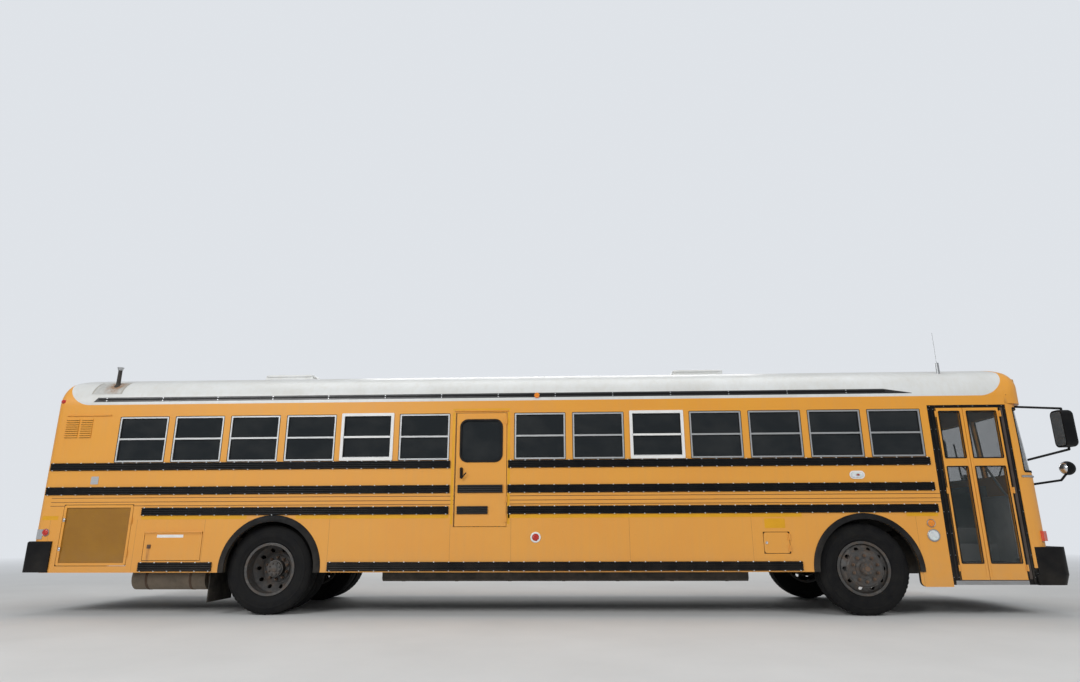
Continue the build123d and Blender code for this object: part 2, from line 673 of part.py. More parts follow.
for side, name in ((RIGHT, "emergency_door_right"), (LEFT, "emergency_door_left")):
    with BuildPart() as door:
        add(opening_panel(side, EMERGENCY, WALL))
        with BuildSketch(side_plane(side)) as hole:
            low, high, bottom, top = EMERGENCY_WINDOW
            with Locations((at((low + high) / 2), (bottom + top) / 2)):
                RectangleRounded(high - low, top - bottom, EMERGENCY_WINDOW_R)
        extrude(amount=outward(side, -WALL), mode=Mode.SUBTRACT)
        add(rail_set(side, DOOR_RAILS))
        hinge_at = EMERGENCY[1] - DOOR_GAP / 2
        heights = (1080, 1310, 2250)
        add(side_hinges(side, hinge_at, heights))
        add(hinge_leaf(side, hinge_at, hinge_at - 40, heights))
    save(door, name)
    with BuildPart() as pane:
        extrude(hole.sketch.moved(Location((0, -side * 15, 0))), amount=outward(side, -GLASS_THICK))
    save(pane, name.replace("door", "glass"))

for side, name in ((RIGHT, "screen_door_right"), (LEFT, "screen_door_left")):
    low, high, bottom, top = SCREEN
    with BuildPart() as door:
        add(opening_panel(side, SCREEN, LID_THICK, corner_r=SCREEN_CORNER_R))
        with BuildSketch(side_plane(side)):
            panel(low + DOOR_GAP + MESH_RIM, high - DOOR_GAP - MESH_RIM, bottom + DOOR_GAP + MESH_RIM,
                  top - DOOR_GAP - MESH_RIM)
        extrude(amount=outward(side, -LID_THICK), mode=Mode.SUBTRACT)
        with BuildSketch(side_plane(side, -LID_THICK / 2)):
            panel(low + DOOR_GAP + MESH_RIM, high - DOOR_GAP - MESH_RIM, bottom + DOOR_GAP + MESH_RIM,
                  top - DOOR_GAP - MESH_RIM)
        extrude(amount=outward(side, -MESH_THICK))
        hinge_at = high - DOOR_GAP / 2
        add(side_hinges(side, hinge_at, (700, 1080)))
        add(hinge_leaf(side, hinge_at, hinge_at - 30, (700, 1080)))
    save(door, name)

with BuildPart() as battery_door:
    low, high, bottom, top = BATTERY
    add(opening_panel(RIGHT, BATTERY, LID_THICK))
    pin = (at((low + high) / 2), -(HALF_WIDTH + HINGE_R + SEAT_GAP), top - DOOR_GAP / 2)
    with Locations(Location(pin, (0, 90, 0))):
        Cylinder(HINGE_R, high - low - 2 * DOOR_GAP)
    with BuildSketch(side_plane(RIGHT)):
        panel(low + DOOR_GAP, high - DOOR_GAP, top - 30, top - DOOR_GAP / 2)
    extrude(amount=outward(RIGHT, HINGE_LEAF))
save(battery_door, "battery_door")
with BuildPart() as fuel_door:
    add(opening_panel(RIGHT, FUEL, LID_THICK, corner_r=FUEL_CORNER_R))
    hinge_at = FUEL[1] - DOOR_GAP / 2
    add(side_hinges(RIGHT, hinge_at, (740, 864)))
    add(hinge_leaf(RIGHT, hinge_at, hinge_at - 25, (740, 864)))
save(fuel_door, "fuel_door")

with BuildPart() as engine_door:
    block((REAR_FACE, REAR_FACE + WALL), (-ENGINE_DOOR[0] + DOOR_GAP, ENGINE_DOOR[0] - DOOR_GAP),
          (ENGINE_DOOR[1] + DOOR_GAP, ENGINE_DOOR[2] - DOOR_GAP))
    pin = (at(REAR_FACE - HINGE_R - SEAT_GAP), 0, ENGINE_DOOR[2] - DOOR_GAP / 2)
    with Locations(Location(pin, (90, 0, 0))):
        Cylinder(HINGE_R, 2 * ENGINE_HINGE_HALF)
    block((REAR_FACE - HINGE_LEAF, REAR_FACE), (-ENGINE_HINGE_HALF, ENGINE_HINGE_HALF),
          (ENGINE_DOOR[2] - 30, ENGINE_DOOR[2] - DOOR_GAP / 2))
    pitch = (ENGINE_LOUVERS[3] - ENGINE_LOUVERS[2]) / ENGINE_LOUVER_ROWS
    for side in (RIGHT, LEFT):
        with BuildSketch(Plane.XZ.offset(-side * ENGINE_LOUVERS[0])):
            for i in range(ENGINE_LOUVER_ROWS):
                foot = ENGINE_LOUVERS[2] + pitch * i
                with BuildLine():
                    Polyline((at(REAR_FACE), foot), (at(REAR_FACE - LOUVER_OUT), foot),
                             (at(REAR_FACE), foot + 0.8 * pitch), (at(REAR_FACE), foot))
                make_face()
        extrude(amount=outward(side, ENGINE_LOUVERS[1] - ENGINE_LOUVERS[0]))
save(engine_door, "engine_door")

# Entry door: black posts and header, an aluminium sill's place, and two glazed leaves that open outwards.
ENTRY_CLEAR = (ENTRY[0] + ENTRY_POST, ENTRY[1] - ENTRY_FRONT_POST,
               ENTRY[2] + ENTRY_SILL_H, ENTRY[3] - ENTRY_HEADER)
with BuildPart() as entry_frame:
    with BuildSketch(side_plane(RIGHT)):
        panel(*ENTRY)
        panel(ENTRY_CLEAR[0], ENTRY_CLEAR[1], ENTRY_CLEAR[2], ENTRY_CLEAR[3], mode=Mode.SUBTRACT)
    extrude(amount=outward(RIGHT, -WALL))
save(entry_frame, "entry_frame")

LEAVES = [
    ("entry_leaf_rear", ENTRY_CLEAR[0] + DOOR_GAP, ENTRY_SPLIT - DOOR_GAP / 2),
    ("entry_leaf_front", ENTRY_SPLIT + DOOR_GAP / 2, ENTRY_CLEAR[1] - DOOR_GAP),
]
for name, low, high in LEAVES:
    foot, head = ENTRY_CLEAR[2] + DOOR_GAP, ENTRY_CLEAR[3] - DOOR_GAP
    panes = [(low + LEAF_RIM, high - LEAF_RIM, LEAF_FOOT_Z, LEAF_LOWER_Z),
             (low + LEAF_RIM, high - LEAF_RIM, LEAF_UPPER_Z, head - LEAF_RIM)]
    with BuildPart() as leaf:
        with BuildSketch(side_plane(RIGHT)):
            panel(low, high, foot, head)
            for row in panes:
                panel(*row, mode=Mode.SUBTRACT)
        extrude(amount=outward(RIGHT, -WALL))
        hinge_at = low - DOOR_GAP / 2 if name == "entry_leaf_rear" else high + DOOR_GAP / 2
        inside = hinge_at + 20 if name == "entry_leaf_rear" else hinge_at - 20
        heights = (520, 1380, 2280)
        add(side_hinges(RIGHT, hinge_at, heights))
        add(hinge_leaf(RIGHT, hinge_at, inside, heights))
    save(leaf, name)
    with BuildPart() as pane:
        add(side_strips(RIGHT, panes, GLASS_THICK - 20, 20))
    save(pane, name.replace("leaf", "glass"))

# Wheels: the axis runs across the bus; profiles are (distance outwards from the tyre's middle, radius).
AXLE_Z = TYRE_R


def wheel_plane(station, y, side):
    return Plane(origin=(at(station), y * side, AXLE_Z), x_dir=(0, side, 0), z_dir=(1, 0, 0))


def axle_axis(station):
    return Axis((at(station), 0, AXLE_Z), (0, 1, 0))


def tyre_ring(station, y, side):
    with BuildPart() as ring:
        with BuildSketch(wheel_plane(station, y, side)):
            with BuildLine():
                Line((-BEAD_HALF_W, BEAD_R), (BEAD_HALF_W, BEAD_R))
                for turn in (1, -1):
                    Line((turn * BEAD_HALF_W, BEAD_R), (turn * BEAD_HALF_W, FLANGE_R))
                    shoulder = (turn * SHOULDER_HALF_W, TYRE_R - SHOULDER_DROP)
                    edge = (turn * TREAD_HALF_W, TYRE_R - TREAD_DROP)
                    ThreePointArc((turn * BEAD_HALF_W, FLANGE_R), (turn * TYRE_HALF_W, SIDEWALL_R), shoulder)
                    RadiusArc(shoulder, edge, -turn * SHOULDER_ROUND)
                ThreePointArc((-TREAD_HALF_W, TYRE_R - TREAD_DROP), (0, TYRE_R),
                              (TREAD_HALF_W, TYRE_R - TREAD_DROP))
            make_face()
        revolve(axis=axle_axis(station))
    return ring.part


def rim_ring(station, y, side, disc):
    """Barrel with flanges, and a bowl that reaches the disc, disc = +1 outwards or -1 inwards."""
    inner = BEAD_R - RIM_THICK
    with BuildPart() as ring:
        with BuildSketch(wheel_plane(station, y, side)):
            with Locations((0, (inner + BEAD_R) / 2)):
                Rectangle(2 * RIM_HALF_W, RIM_THICK)
            for turn in (1, -1):
                with Locations((turn * (BEAD_HALF_W + RIM_HALF_W) / 2, (inner + FLANGE_R) / 2)):
                    Rectangle(RIM_HALF_W - BEAD_HALF_W, FLANGE_R - inner)
            with BuildLine():
                Polyline((disc * 60, inner), (disc * 84, inner), (disc * DISC_OFFSET, DISC_FLAT_R),
                         (disc * DISC_OFFSET, 60), (disc * (DISC_OFFSET - DISC_THICK), 60),
                         (disc * (DISC_OFFSET - DISC_THICK), DISC_FLAT_R - 12), (disc * 60, inner))
            make_face()
        revolve(axis=axle_axis(station))
        middle = (at(station), side * (y + disc * (DISC_OFFSET - 35)), AXLE_Z)
        with Locations(Plane(origin=middle, x_dir=(1, 0, 0), z_dir=(0, side, 0))):
            with PolarLocations(DISC_FLAT_R + 30, HAND_HOLES):
                Cylinder(HAND_HOLE_R, 90, mode=Mode.SUBTRACT)
    return ring.part


def lathe(station, side, rows):
    """Turned part on the axle line: rows are (y from, y to, radius)."""
    with BuildPart() as turned:
        for near, far, radius in rows:
            with Locations(Plane(origin=(at(station), side * (near + far) / 2, AXLE_Z), z_dir=(0, 1, 0))):
                Cylinder(radius, far - near)
    return turned.part


for side, name in ((RIGHT, "right"), (LEFT, "left")):
    with BuildPart() as tyre_front:
        add(tyre_ring(WHEELBASE, FRONT_TYRE_Y, side))
    save(tyre_front, f"tyre_front_{name}")
    disc_y = FRONT_TYRE_Y + DISC_OFFSET
    with BuildPart() as wheel_front:
        add(rim_ring(WHEELBASE, FRONT_TYRE_Y, side, 1))
        add(lathe(WHEELBASE, side, [(960, disc_y + 10, 75), (disc_y + 10, disc_y + 62, 62),
                                    (disc_y - DISC_THICK - 30, disc_y - DISC_THICK, 150)]))
        add(lathe(WHEELBASE, side, [(920, disc_y - DISC_THICK, DRUM_R)]))
        add(lathe(WHEELBASE, side, [(920, disc_y - DISC_THICK - 30, DRUM_R - 14)]), mode=Mode.SUBTRACT)
        add(lathe(WHEELBASE, side, [(960, disc_y - DISC_THICK, 75)]))
        add(lathe(WHEELBASE, side, [(915, 1150, SPINDLE_R + RUN_FIT)]), mode=Mode.SUBTRACT)
    save(wheel_front, f"wheel_front_{name}")

    with BuildPart() as tyres_rear:
        add(tyre_ring(0, REAR_OUTER_Y, side))
        add(tyre_ring(0, REAR_INNER_Y, side))
    save(tyres_rear, f"tyres_rear_{name}")
    middle = (REAR_OUTER_Y + REAR_INNER_Y) / 2
    with BuildPart() as wheels_rear:
        add(rim_ring(0, REAR_OUTER_Y, side, -1))
        add(rim_ring(0, REAR_INNER_Y, side, 1))
        add(lathe(0, side, [(640, 960, 100), (middle + 10, middle + 40, 150), (960, 985, 82)]))
        add(lathe(0, side, [(600, 940, REAR_SPINDLE_R + RUN_FIT)]), mode=Mode.SUBTRACT)
    save(wheels_rear, f"wheels_rear_{name}")

    with BuildPart() as knuckle:
        with Locations((at(WHEELBASE), side * KINGPIN_Y, AXLE_Z)):
            Cylinder(KINGPIN_R, 200)
        for up in (1, -1):
            with Locations((at(WHEELBASE), side * KINGPIN_Y, AXLE_Z + up * 80)):
                Cylinder(KNUCKLE_R, 36)
            block((WHEELBASE - 30, WHEELBASE + 30), (side * KINGPIN_Y, side * 915),
                  (AXLE_Z + up * 62, AXLE_Z + up * 98))
        block((WHEELBASE - 50, WHEELBASE + 50), (side * 897, side * 915), (AXLE_Z - 98, AXLE_Z + 98))
        add(lathe(WHEELBASE, side, [(905, 1149, SPINDLE_R)]))
        block((WHEELBASE - 220, WHEELBASE), (side * 830, side * 870), (AXLE_Z - 98, AXLE_Z - 70))
    save(knuckle, f"knuckle_{name}")

# Front axle: dropped beam with an eye at each end, on two leaf springs.
SPRING_Y = 400.0
with BuildPart() as front_axle:
    block((WHEELBASE - 45, WHEELBASE + 45), (-620, 620), (AXLE_Z - 110, AXLE_Z - 20))
    for side in (RIGHT, LEFT):
        block((WHEELBASE - 40, WHEELBASE + 40), (side * 600, side * (KINGPIN_Y - 20)),
              (AXLE_Z - 45, AXLE_Z + 45))
        with Locations((at(WHEELBASE), side * KINGPIN_Y, AXLE_Z)):
            Cylinder(KNUCKLE_R, 120)
            Cylinder(KINGPIN_R + RUN_FIT, 120, mode=Mode.SUBTRACT)
        leaf = (side * (SPRING_Y - 38), side * (SPRING_Y + 32))
        block((WHEELBASE - 700, WHEELBASE + 700), leaf, (AXLE_Z - 20 + SEAT_GAP, AXLE_Z + 25))
        for end in (-700, 640):
            block((WHEELBASE + end, WHEELBASE + end + 60), leaf, (AXLE_Z + 25, RAIL_BOTTOM))
save(front_axle, "front_axle")

# Rear axle: banjo housing with spindle ends, on suspension blocks under the rails.
with BuildPart() as rear_axle:
    with Locations((at(0), 0, AXLE_Z)):
        Sphere(200)
    for side in (RIGHT, LEFT):
        add(lathe(0, side, [(0, 600, 65), (600, 939, REAR_SPINDLE_R)]))
        leaf = (side * (SPRING_Y - 38), side * (SPRING_Y + 32))
        block((-600, 300), leaf, (AXLE_Z - 60, AXLE_Z - 10))
        for station in (-600, 240):
            block((station, station + 60), leaf, (AXLE_Z - 10, RAIL_BOTTOM))
save(rear_axle, "rear_axle")

# Gas tanks: three rows of two long cylinders with domed ends, hung from the cross members by straps.
TANKS = [(start, y) for start in (880.0, 3480.0) for y in (-800.0, 0.0, 800.0)]
TANK_LENGTH = 2350.0
STRAP = 60.0
with BuildPart() as gas_tanks:
    for start, y in TANKS:
        with Locations(Location((at(start + TANK_LENGTH / 2), y, TANK_Z), (0, 90, 0))):
            Cylinder(TANK_R - 5, TANK_LENGTH - 2 * TANK_R)
        for end in (start + TANK_R, start + TANK_LENGTH - TANK_R):
            with Locations((at(end), y, TANK_Z)):
                Sphere(TANK_R - 5)
        for station in [s for s in CROSS_STATIONS if start + 200 < s < start + TANK_LENGTH - 200]:
            with Locations(Location((at(station), y, TANK_Z), (0, 90, 0))):
                Cylinder(TANK_R, STRAP)
            block((station - STRAP / 2, station + STRAP / 2), (y - 60, y + 60), (TANK_Z + 100, RAIL_TOP))
save(gas_tanks, "gas_tanks")

# Engine, radiator, muffler.
with BuildPart() as engine:
    between_rails = RAIL_Y - RAIL_FLANGE - SEAT_GAP
    block((-2700, ENGINE_BAY_FRONT - 20), (-between_rails, between_rails), (520, 1240))
save(engine, "engine")
with BuildPart() as radiator:
    block((SCREEN[0] + 40, SCREEN[1] - 40), (-1150, -1080), (SCREEN[2] + 50, PLATFORM_Z - FLOOR_THICK))
save(radiator, "radiator")
MUFFLER = (-1783.0, -867.0, -800.0, 400.0, 140.0)
with BuildPart() as muffler:
    low, high, y, z, radius = MUFFLER
    with Locations(Location((at((low + high) / 2), y, z), (0, 90, 0))):
        Cylinder(radius, high - low)
    for station in (low + 180, high - 180):
        block((station - 20, station + 20), (y - 20, y + 20), (z, FLOOR_TOP - FLOOR_THICK))
save(muffler, "muffler")

# Bumpers.
FRONT_BUMPER = (444.0, 747.0)
REAR_BUMPER = (484.0, 841.0)
REAR_BUMPER_R = 50.0
REAR_BUMPER_SIDE = 18.0
REAR_BUMPER_WRAP = 2655.0
FRONT_BUMPER_DROP = 112.0
FRONT_BUMPER_TAPER = 18.0
PLATE_Z = 662.5
PLATE_HOLES = (177.8, 120.65)
PLATE_HOLE_R = 3.5
BUMPER_NOSE = 9330.0
BUMPER_BOW_R = 9000.0
BUMPER_CORNER_R = 120.0
BUMPER_DEPTH = 120.0


def bumper_plan(inset, back):
    return nose_plan(FRONT_BUMPER[0], inset, back, BUMPER_NOSE, BUMPER_BOW_R, BUMPER_CORNER_R)


def rear_bumper_bar():
    """Bar across the tail with round corners, bevelled top and sides that run forward along the skin."""
    half = HALF_WIDTH + REAR_BUMPER_SIDE
    with BuildPart() as bar:
        block((-TAIL_REACH, -REAR_BUMPER_WRAP), (-half, half), REAR_BUMPER)
        fillet(bar.edges().filter_by(Axis.Z).group_by(Axis.X)[0], radius=REAR_BUMPER_R)
        top = bar.faces().sort_by(Axis.Z)[-1]
        behind = top.edges().filter_by(lambda e: e.center().X < at(-REAR_BUMPER_WRAP) - 1)
        chamfer(behind, length=REAR_BUMPER_SIDE - 4)
        skin = HALF_WIDTH + SEAT_GAP
        block((REAR_FACE, 0), (-skin, skin), (0, HALF_WIDTH), mode=Mode.SUBTRACT)
    return bar


with BuildPart() as bumpers:
    extrude(bumper_plan(0, FRONT_JOINT + 12), amount=FRONT_BUMPER[1] - FRONT_BUMPER[0])
    height = FRONT_BUMPER[1] - FRONT_BUMPER[0]
    extrude(bumper_plan(BUMPER_DEPTH - 5, FRONT_JOINT - 100), amount=height, mode=Mode.SUBTRACT)
    extrude(nose_plan(FRONT_BUMPER[0], 0, FRONT_JOINT - 100), amount=height, mode=Mode.SUBTRACT)
    extrude(bumper_plan(0, FRONT_JOINT + 12), amount=-FRONT_BUMPER_DROP, taper=FRONT_BUMPER_TAPER)
    extrude(bumper_plan(BUMPER_DEPTH - 5, FRONT_JOINT - 100), amount=-FRONT_BUMPER_DROP, mode=Mode.SUBTRACT)
    add(rear_bumper_bar().part)
    with Locations(Plane(origin=(at(-TAIL_REACH), 0, PLATE_Z), x_dir=(0, 1, 0), z_dir=(-1, 0, 0))):
        with GridLocations(PLATE_HOLES[0], PLATE_HOLES[1], 2, 2):
            Cylinder(PLATE_HOLE_R, 2 * (TAIL_REACH + REAR_FACE), mode=Mode.SUBTRACT)
save(bumpers, "bumpers")

# Arch flares and mud flaps in black rubber. A flare bulges like a quarter round and ends in a bead
# at the wheel.
FLARE_BEAD = 16.0


def flare_arch(side, x, radius, height, flare):
    skin = side * HALF_WIDTH
    with BuildPart() as arch:
        with BuildSketch(Plane(origin=(x, 0, height), x_dir=(0, 1, 0), z_dir=(1, 0, 0))):
            with BuildLine():
                Line((skin, radius), (skin, radius + flare))
                Line((skin, radius + flare), (skin + side * 5, radius + flare))
                ThreePointArc((skin + side * 5, radius + flare),
                              (skin + side * 0.75 * FLARE_OUT, radius + 0.7 * flare),
                              (skin + side * FLARE_OUT, radius + FLARE_BEAD))
                Line((skin + side * FLARE_OUT, radius + FLARE_BEAD), (skin + side * FLARE_OUT, radius))
                Line((skin + side * FLARE_OUT, radius), (skin, radius))
            make_face()
        revolve(axis=Axis((x, 0, height), (0, 1, 0)))
        reach = radius + flare
        with Locations((x, skin, SKIRT_Z - reach)):
            Box(3 * reach, 4 * FLARE_OUT, 2 * reach, mode=Mode.SUBTRACT)
    return arch.part


with BuildPart() as rubber_trim:
    for side in (RIGHT, LEFT):
        for axle, shift, radius, height, flare in ARCHES:
            add(flare_arch(side, at(axle + shift), radius, height, flare))
        block((-706, -694), (side * 560, side * 1150), (142, FLOOR_TOP - FLOOR_THICK))
save(rubber_trim, "rubber_trim")


def rod(start, end, radius):
    """A round rod between two points given as (station, Y, Z)."""
    first = Vector(at(start[0]), start[1], start[2])
    last = Vector(at(end[0]), end[1], end[2])
    with Locations(Plane(origin=(first + last) / 2, z_dir=last - first)):
        Cylinder(radius, (last - first).length)
    with Locations(last):
        Sphere(radius)


# Mirrors: a tall head on two arms and a round convex one on a bent arm, at both front corners.
MIRROR_HEAD = (9290.0, 9440.0, 1290.0, 1490.0, 1855.0, 2281.0)
CROSS_MIRROR_R = 82.0
CROSS_MIRROR = (MIRROR_REACH - CROSS_MIRROR_R, 1080.0, 1640.0)
ARM_R = 13.0
MIRROR_CORNER_R = 60.0
MIRROR_DOME_R = 45.0


def mirror_head(x, y):
    """Housing of the tall mirror: round corners as seen from the front, a domed face and a flat back."""
    low, high, near, far, bottom, top = MIRROR_HEAD
    with BuildPart() as head:
        with BuildSketch(Plane.YZ.offset(x - (high - low) / 2)):
            with Locations((y, (bottom + top) / 2)):
                RectangleRounded(far - near, top - bottom, MIRROR_CORNER_R)
        extrude(amount=high - low)
        fillet(head.faces().sort_by(Axis.X)[-1].edges(), radius=MIRROR_DOME_R)
    return head


with BuildPart() as mirrors:
    for side in (RIGHT, LEFT):
        low, high, near, far, bottom, top = MIRROR_HEAD
        middle = side * (near + far) / 2
        add(mirror_head(at((low + high) / 2), middle).part)
        rod((9000, side * 1100, 2380), (9365, middle, top + 25), ARM_R)
        rod((9365, middle, top + 25), (9365, middle, bottom - 25), ARM_R)
        rod((9365, middle, bottom - 25), (9000, side * 1130, bottom - 130), ARM_R)
        rod((9000, side * 1000, 1440), (9420, side * 1080, 1500), ARM_R)
        rod((9420, side * 1080, 1500), (CROSS_MIRROR[0], side * 1080, 1600), ARM_R)
        with Locations((at(CROSS_MIRROR[0]), side * CROSS_MIRROR[1], CROSS_MIRROR[2])):
            Sphere(CROSS_MIRROR_R)
    extrude(nose_plan(NOSE_BOTTOM_Z, 0, NOSE_BACK), amount=LEDGE_Z - NOSE_BOTTOM_Z, mode=Mode.SUBTRACT)
    extrude(nose_plan(LEDGE_Z, 0, NOSE_BACK), amount=LEANING_LENGTH, dir=LEANING, mode=Mode.SUBTRACT)
save(mirrors, "mirrors")

# Seats: benches on both sides of the aisle, each a soft cushion and a high soft back.
SEAT_PITCH = SECTION
SEAT_ROWS = 12
SEAT_FIRST = -1300.0
SEAT_INNER_Y = 190.0
SEAT_OUTER_Y = 1160.0
CUSHION_Z = (1240.0, 1400.0)
BACK_TOP = 2010.0
SEAT_DEPTH = 400.0
BACK_THICK = 90.0
BACK_LEAN = 60.0
BACK_ROUND = 40.0
CUSHION_ROUND = 45.0
BARRIER_STATION = 7230.0


def back_profile(station):
    """Side view of a seat back that leans to the rear and is rounded at its top."""
    with BuildSketch(Plane.XZ) as profile:
        with BuildLine():
            Polyline((at(station), CUSHION_Z[0]), (at(station + BACK_THICK), CUSHION_Z[0]),
                     (at(station + BACK_THICK - BACK_LEAN), BACK_TOP), (at(station - BACK_LEAN), BACK_TOP),
                     (at(station), CUSHION_Z[0]))
        make_face()
        fillet(profile.vertices().group_by(Axis.Y)[-1], radius=BACK_ROUND)
    return profile.sketch


def cushion_profile(station):
    """Side view of a bench cushion with round front and rear edges, just ahead of its back."""
    low, high = station + BACK_THICK + SEAT_GAP, station + SEAT_DEPTH
    with BuildSketch(Plane.XZ) as profile:
        with Locations((at((low + high) / 2), (CUSHION_Z[0] + CUSHION_Z[1]) / 2)):
            RectangleRounded(high - low, CUSHION_Z[1] - CUSHION_Z[0], CUSHION_ROUND)
    return profile.sketch


with BuildPart() as passenger_seats:
    for row in range(SEAT_ROWS):
        station = SEAT_FIRST + SEAT_PITCH * row
        for side in (RIGHT, LEFT):
            middle = side * (SEAT_INNER_Y + SEAT_OUTER_Y) / 2
            for outline in (cushion_profile(station), back_profile(station)):
                placed = outline.moved(Location((0, middle, 0)))
                extrude(placed, amount=(SEAT_OUTER_Y - SEAT_INNER_Y) / 2, both=True)
    for side in (RIGHT, LEFT):
        middle = side * (SEAT_INNER_Y + SEAT_OUTER_Y) / 2
        placed = back_profile(BARRIER_STATION).moved(Location((0, middle, 0)))
        extrude(placed, amount=(SEAT_OUTER_Y - SEAT_INNER_Y) / 2, both=True)
save(passenger_seats, "passenger_seats")

with BuildPart() as seat_frames:
    for row in range(SEAT_ROWS):
        station = SEAT_FIRST + SEAT_PITCH * row
        for side in (RIGHT, LEFT):
            for leg in (20, SEAT_DEPTH - 60):
                block((station + leg, station + leg + 30),
                      (side * (SEAT_INNER_Y + 40), side * (SEAT_INNER_Y + 70)),
                      (FLOOR_TOP, CUSHION_Z[0] - SEAT_GAP))
            block((station + 20, station + SEAT_DEPTH - 30),
                  (side * (SEAT_INNER_Y + 20), side * (HALF_WIDTH - WALL)),
                  (CUSHION_Z[0] - 30, CUSHION_Z[0] - SEAT_GAP))
    for side in (RIGHT, LEFT):
        for leg in (SEAT_INNER_Y + 40, HOUSING_INNER_Y - 90):
            block((BARRIER_STATION + 30, BARRIER_STATION + 60), (side * leg, side * (leg + 30)),
                  (FLOOR_TOP, CUSHION_Z[0] - SEAT_GAP))
save(seat_frames, "seat_frames")

# Driver's place: a contoured seat on a pedestal, a dashboard with a sloping face and a steering wheel.
DRIVER_SEAT = (7900.0, 8420.0, 330.0, 830.0)
DRIVER_CUSHION_Z = (1330.0, 1450.0)
DRIVER_BACK_TOP = 2050.0
DRIVER_BACK = 110.0
DRIVER_LEAN = 90.0
DRIVER_ROUND = 35.0
PEDESTAL = (8000.0, 8350.0, 480.0, 680.0)
DASH = (8720.0, 8960.0, -350.0, 950.0)
DASH_TOP = 1480.0
DASH_BROW = 90.0
STEERING = (8700.0, 580.0, 1500.0)
STEERING_R = 220.0
STEERING_RIM = 14.0
STEERING_TILT = (-0.7, 0.0, 0.7)
COLUMN_R = 25.0
COLUMN_LENGTH = 150.0
with BuildPart() as driver_seat:
    low, high, near, far = DRIVER_SEAT
    with BuildSketch(Plane.XZ.offset(-near)):
        with BuildLine():
            Polyline((at(low + DRIVER_LEAN), DRIVER_CUSHION_Z[0]), (at(high), DRIVER_CUSHION_Z[0]),
                     (at(high), DRIVER_CUSHION_Z[1]),
                     (at(low + DRIVER_LEAN + DRIVER_BACK), DRIVER_CUSHION_Z[1] - 20),
                     (at(low + DRIVER_BACK), DRIVER_BACK_TOP), (at(low), DRIVER_BACK_TOP),
                     (at(low + DRIVER_LEAN), DRIVER_CUSHION_Z[0]))
        make_face()
        fillet(vertices(), radius=DRIVER_ROUND)
    extrude(amount=-(far - near))
save(driver_seat, "driver_seat")
with BuildPart() as dashboard:
    low, high, near, far = DASH
    with BuildSketch(Plane.XZ.offset(-near)):
        with BuildLine():
            Polyline((at(low + DASH_BROW), FLOOR_TOP), (at(high), FLOOR_TOP), (at(high), DASH_TOP),
                     (at(low + DASH_BROW), DASH_TOP), (at(low), DASH_TOP - DASH_BROW),
                     (at(low + DASH_BROW), DASH_TOP - 3 * DASH_BROW), (at(low + DASH_BROW), FLOOR_TOP))
        make_face()
    extrude(amount=-(far - near))
    low, high, near, far = PEDESTAL
    block((low, high), (near, far), (FLOOR_TOP, DRIVER_CUSHION_Z[0] - SEAT_GAP))
    hub = Plane(origin=(at(STEERING[0]), STEERING[1], STEERING[2]), z_dir=STEERING_TILT)
    with Locations(hub):
        Torus(STEERING_R - STEERING_RIM, STEERING_RIM)
        Cylinder(2.5 * COLUMN_R, 2 * STEERING_RIM)
    with BuildSketch(hub.offset(-STEERING_RIM / 2)):
        with PolarLocations(0, 3):
            with Locations(((STEERING_R - STEERING_RIM) / 2, 0)):
                Rectangle(STEERING_R - STEERING_RIM, 2 * STEERING_RIM)
    extrude(amount=STEERING_RIM)
    with BuildSketch(Plane(origin=hub.origin, z_dir=-hub.z_dir)):
        Circle(COLUMN_R)
    extrude(amount=COLUMN_LENGTH)
save(dashboard, "dashboard")

# Lamps are low domes. Each row: (station or Y, Y or Z, radius), by the face that carries it.
LENS_OUT = 22.0
LENS_BEVEL = 12.0
SIDE_LENS_OUT = 14.0


def lens_on(plane, radius, out=LENS_OUT, bevel=LENS_BEVEL):
    with BuildPart() as dome:
        with BuildSketch(plane):
            Circle(radius)
        extrude(amount=out)
        rim = dome.edges().filter_by(GeomType.CIRCLE).sort_by(Axis(plane.origin, plane.z_dir))[-1]
        fillet(rim, radius=bevel)
    return dome.part


def front_plane(y, z, face=LAMP_BOARD_FACE):
    return Plane(origin=(at(face), y, z), x_dir=(0, 1, 0), z_dir=(1, 0, 0))


def rear_plane(y, z):
    return Plane(origin=(at(REAR_FACE), y, z), x_dir=(0, -1, 0), z_dir=(-1, 0, 0))


def skin_plane(side, station, z):
    return Plane(origin=(at(station), side * HALF_WIDTH, z), x_dir=(side, 0, 0), z_dir=(0, side, 0))


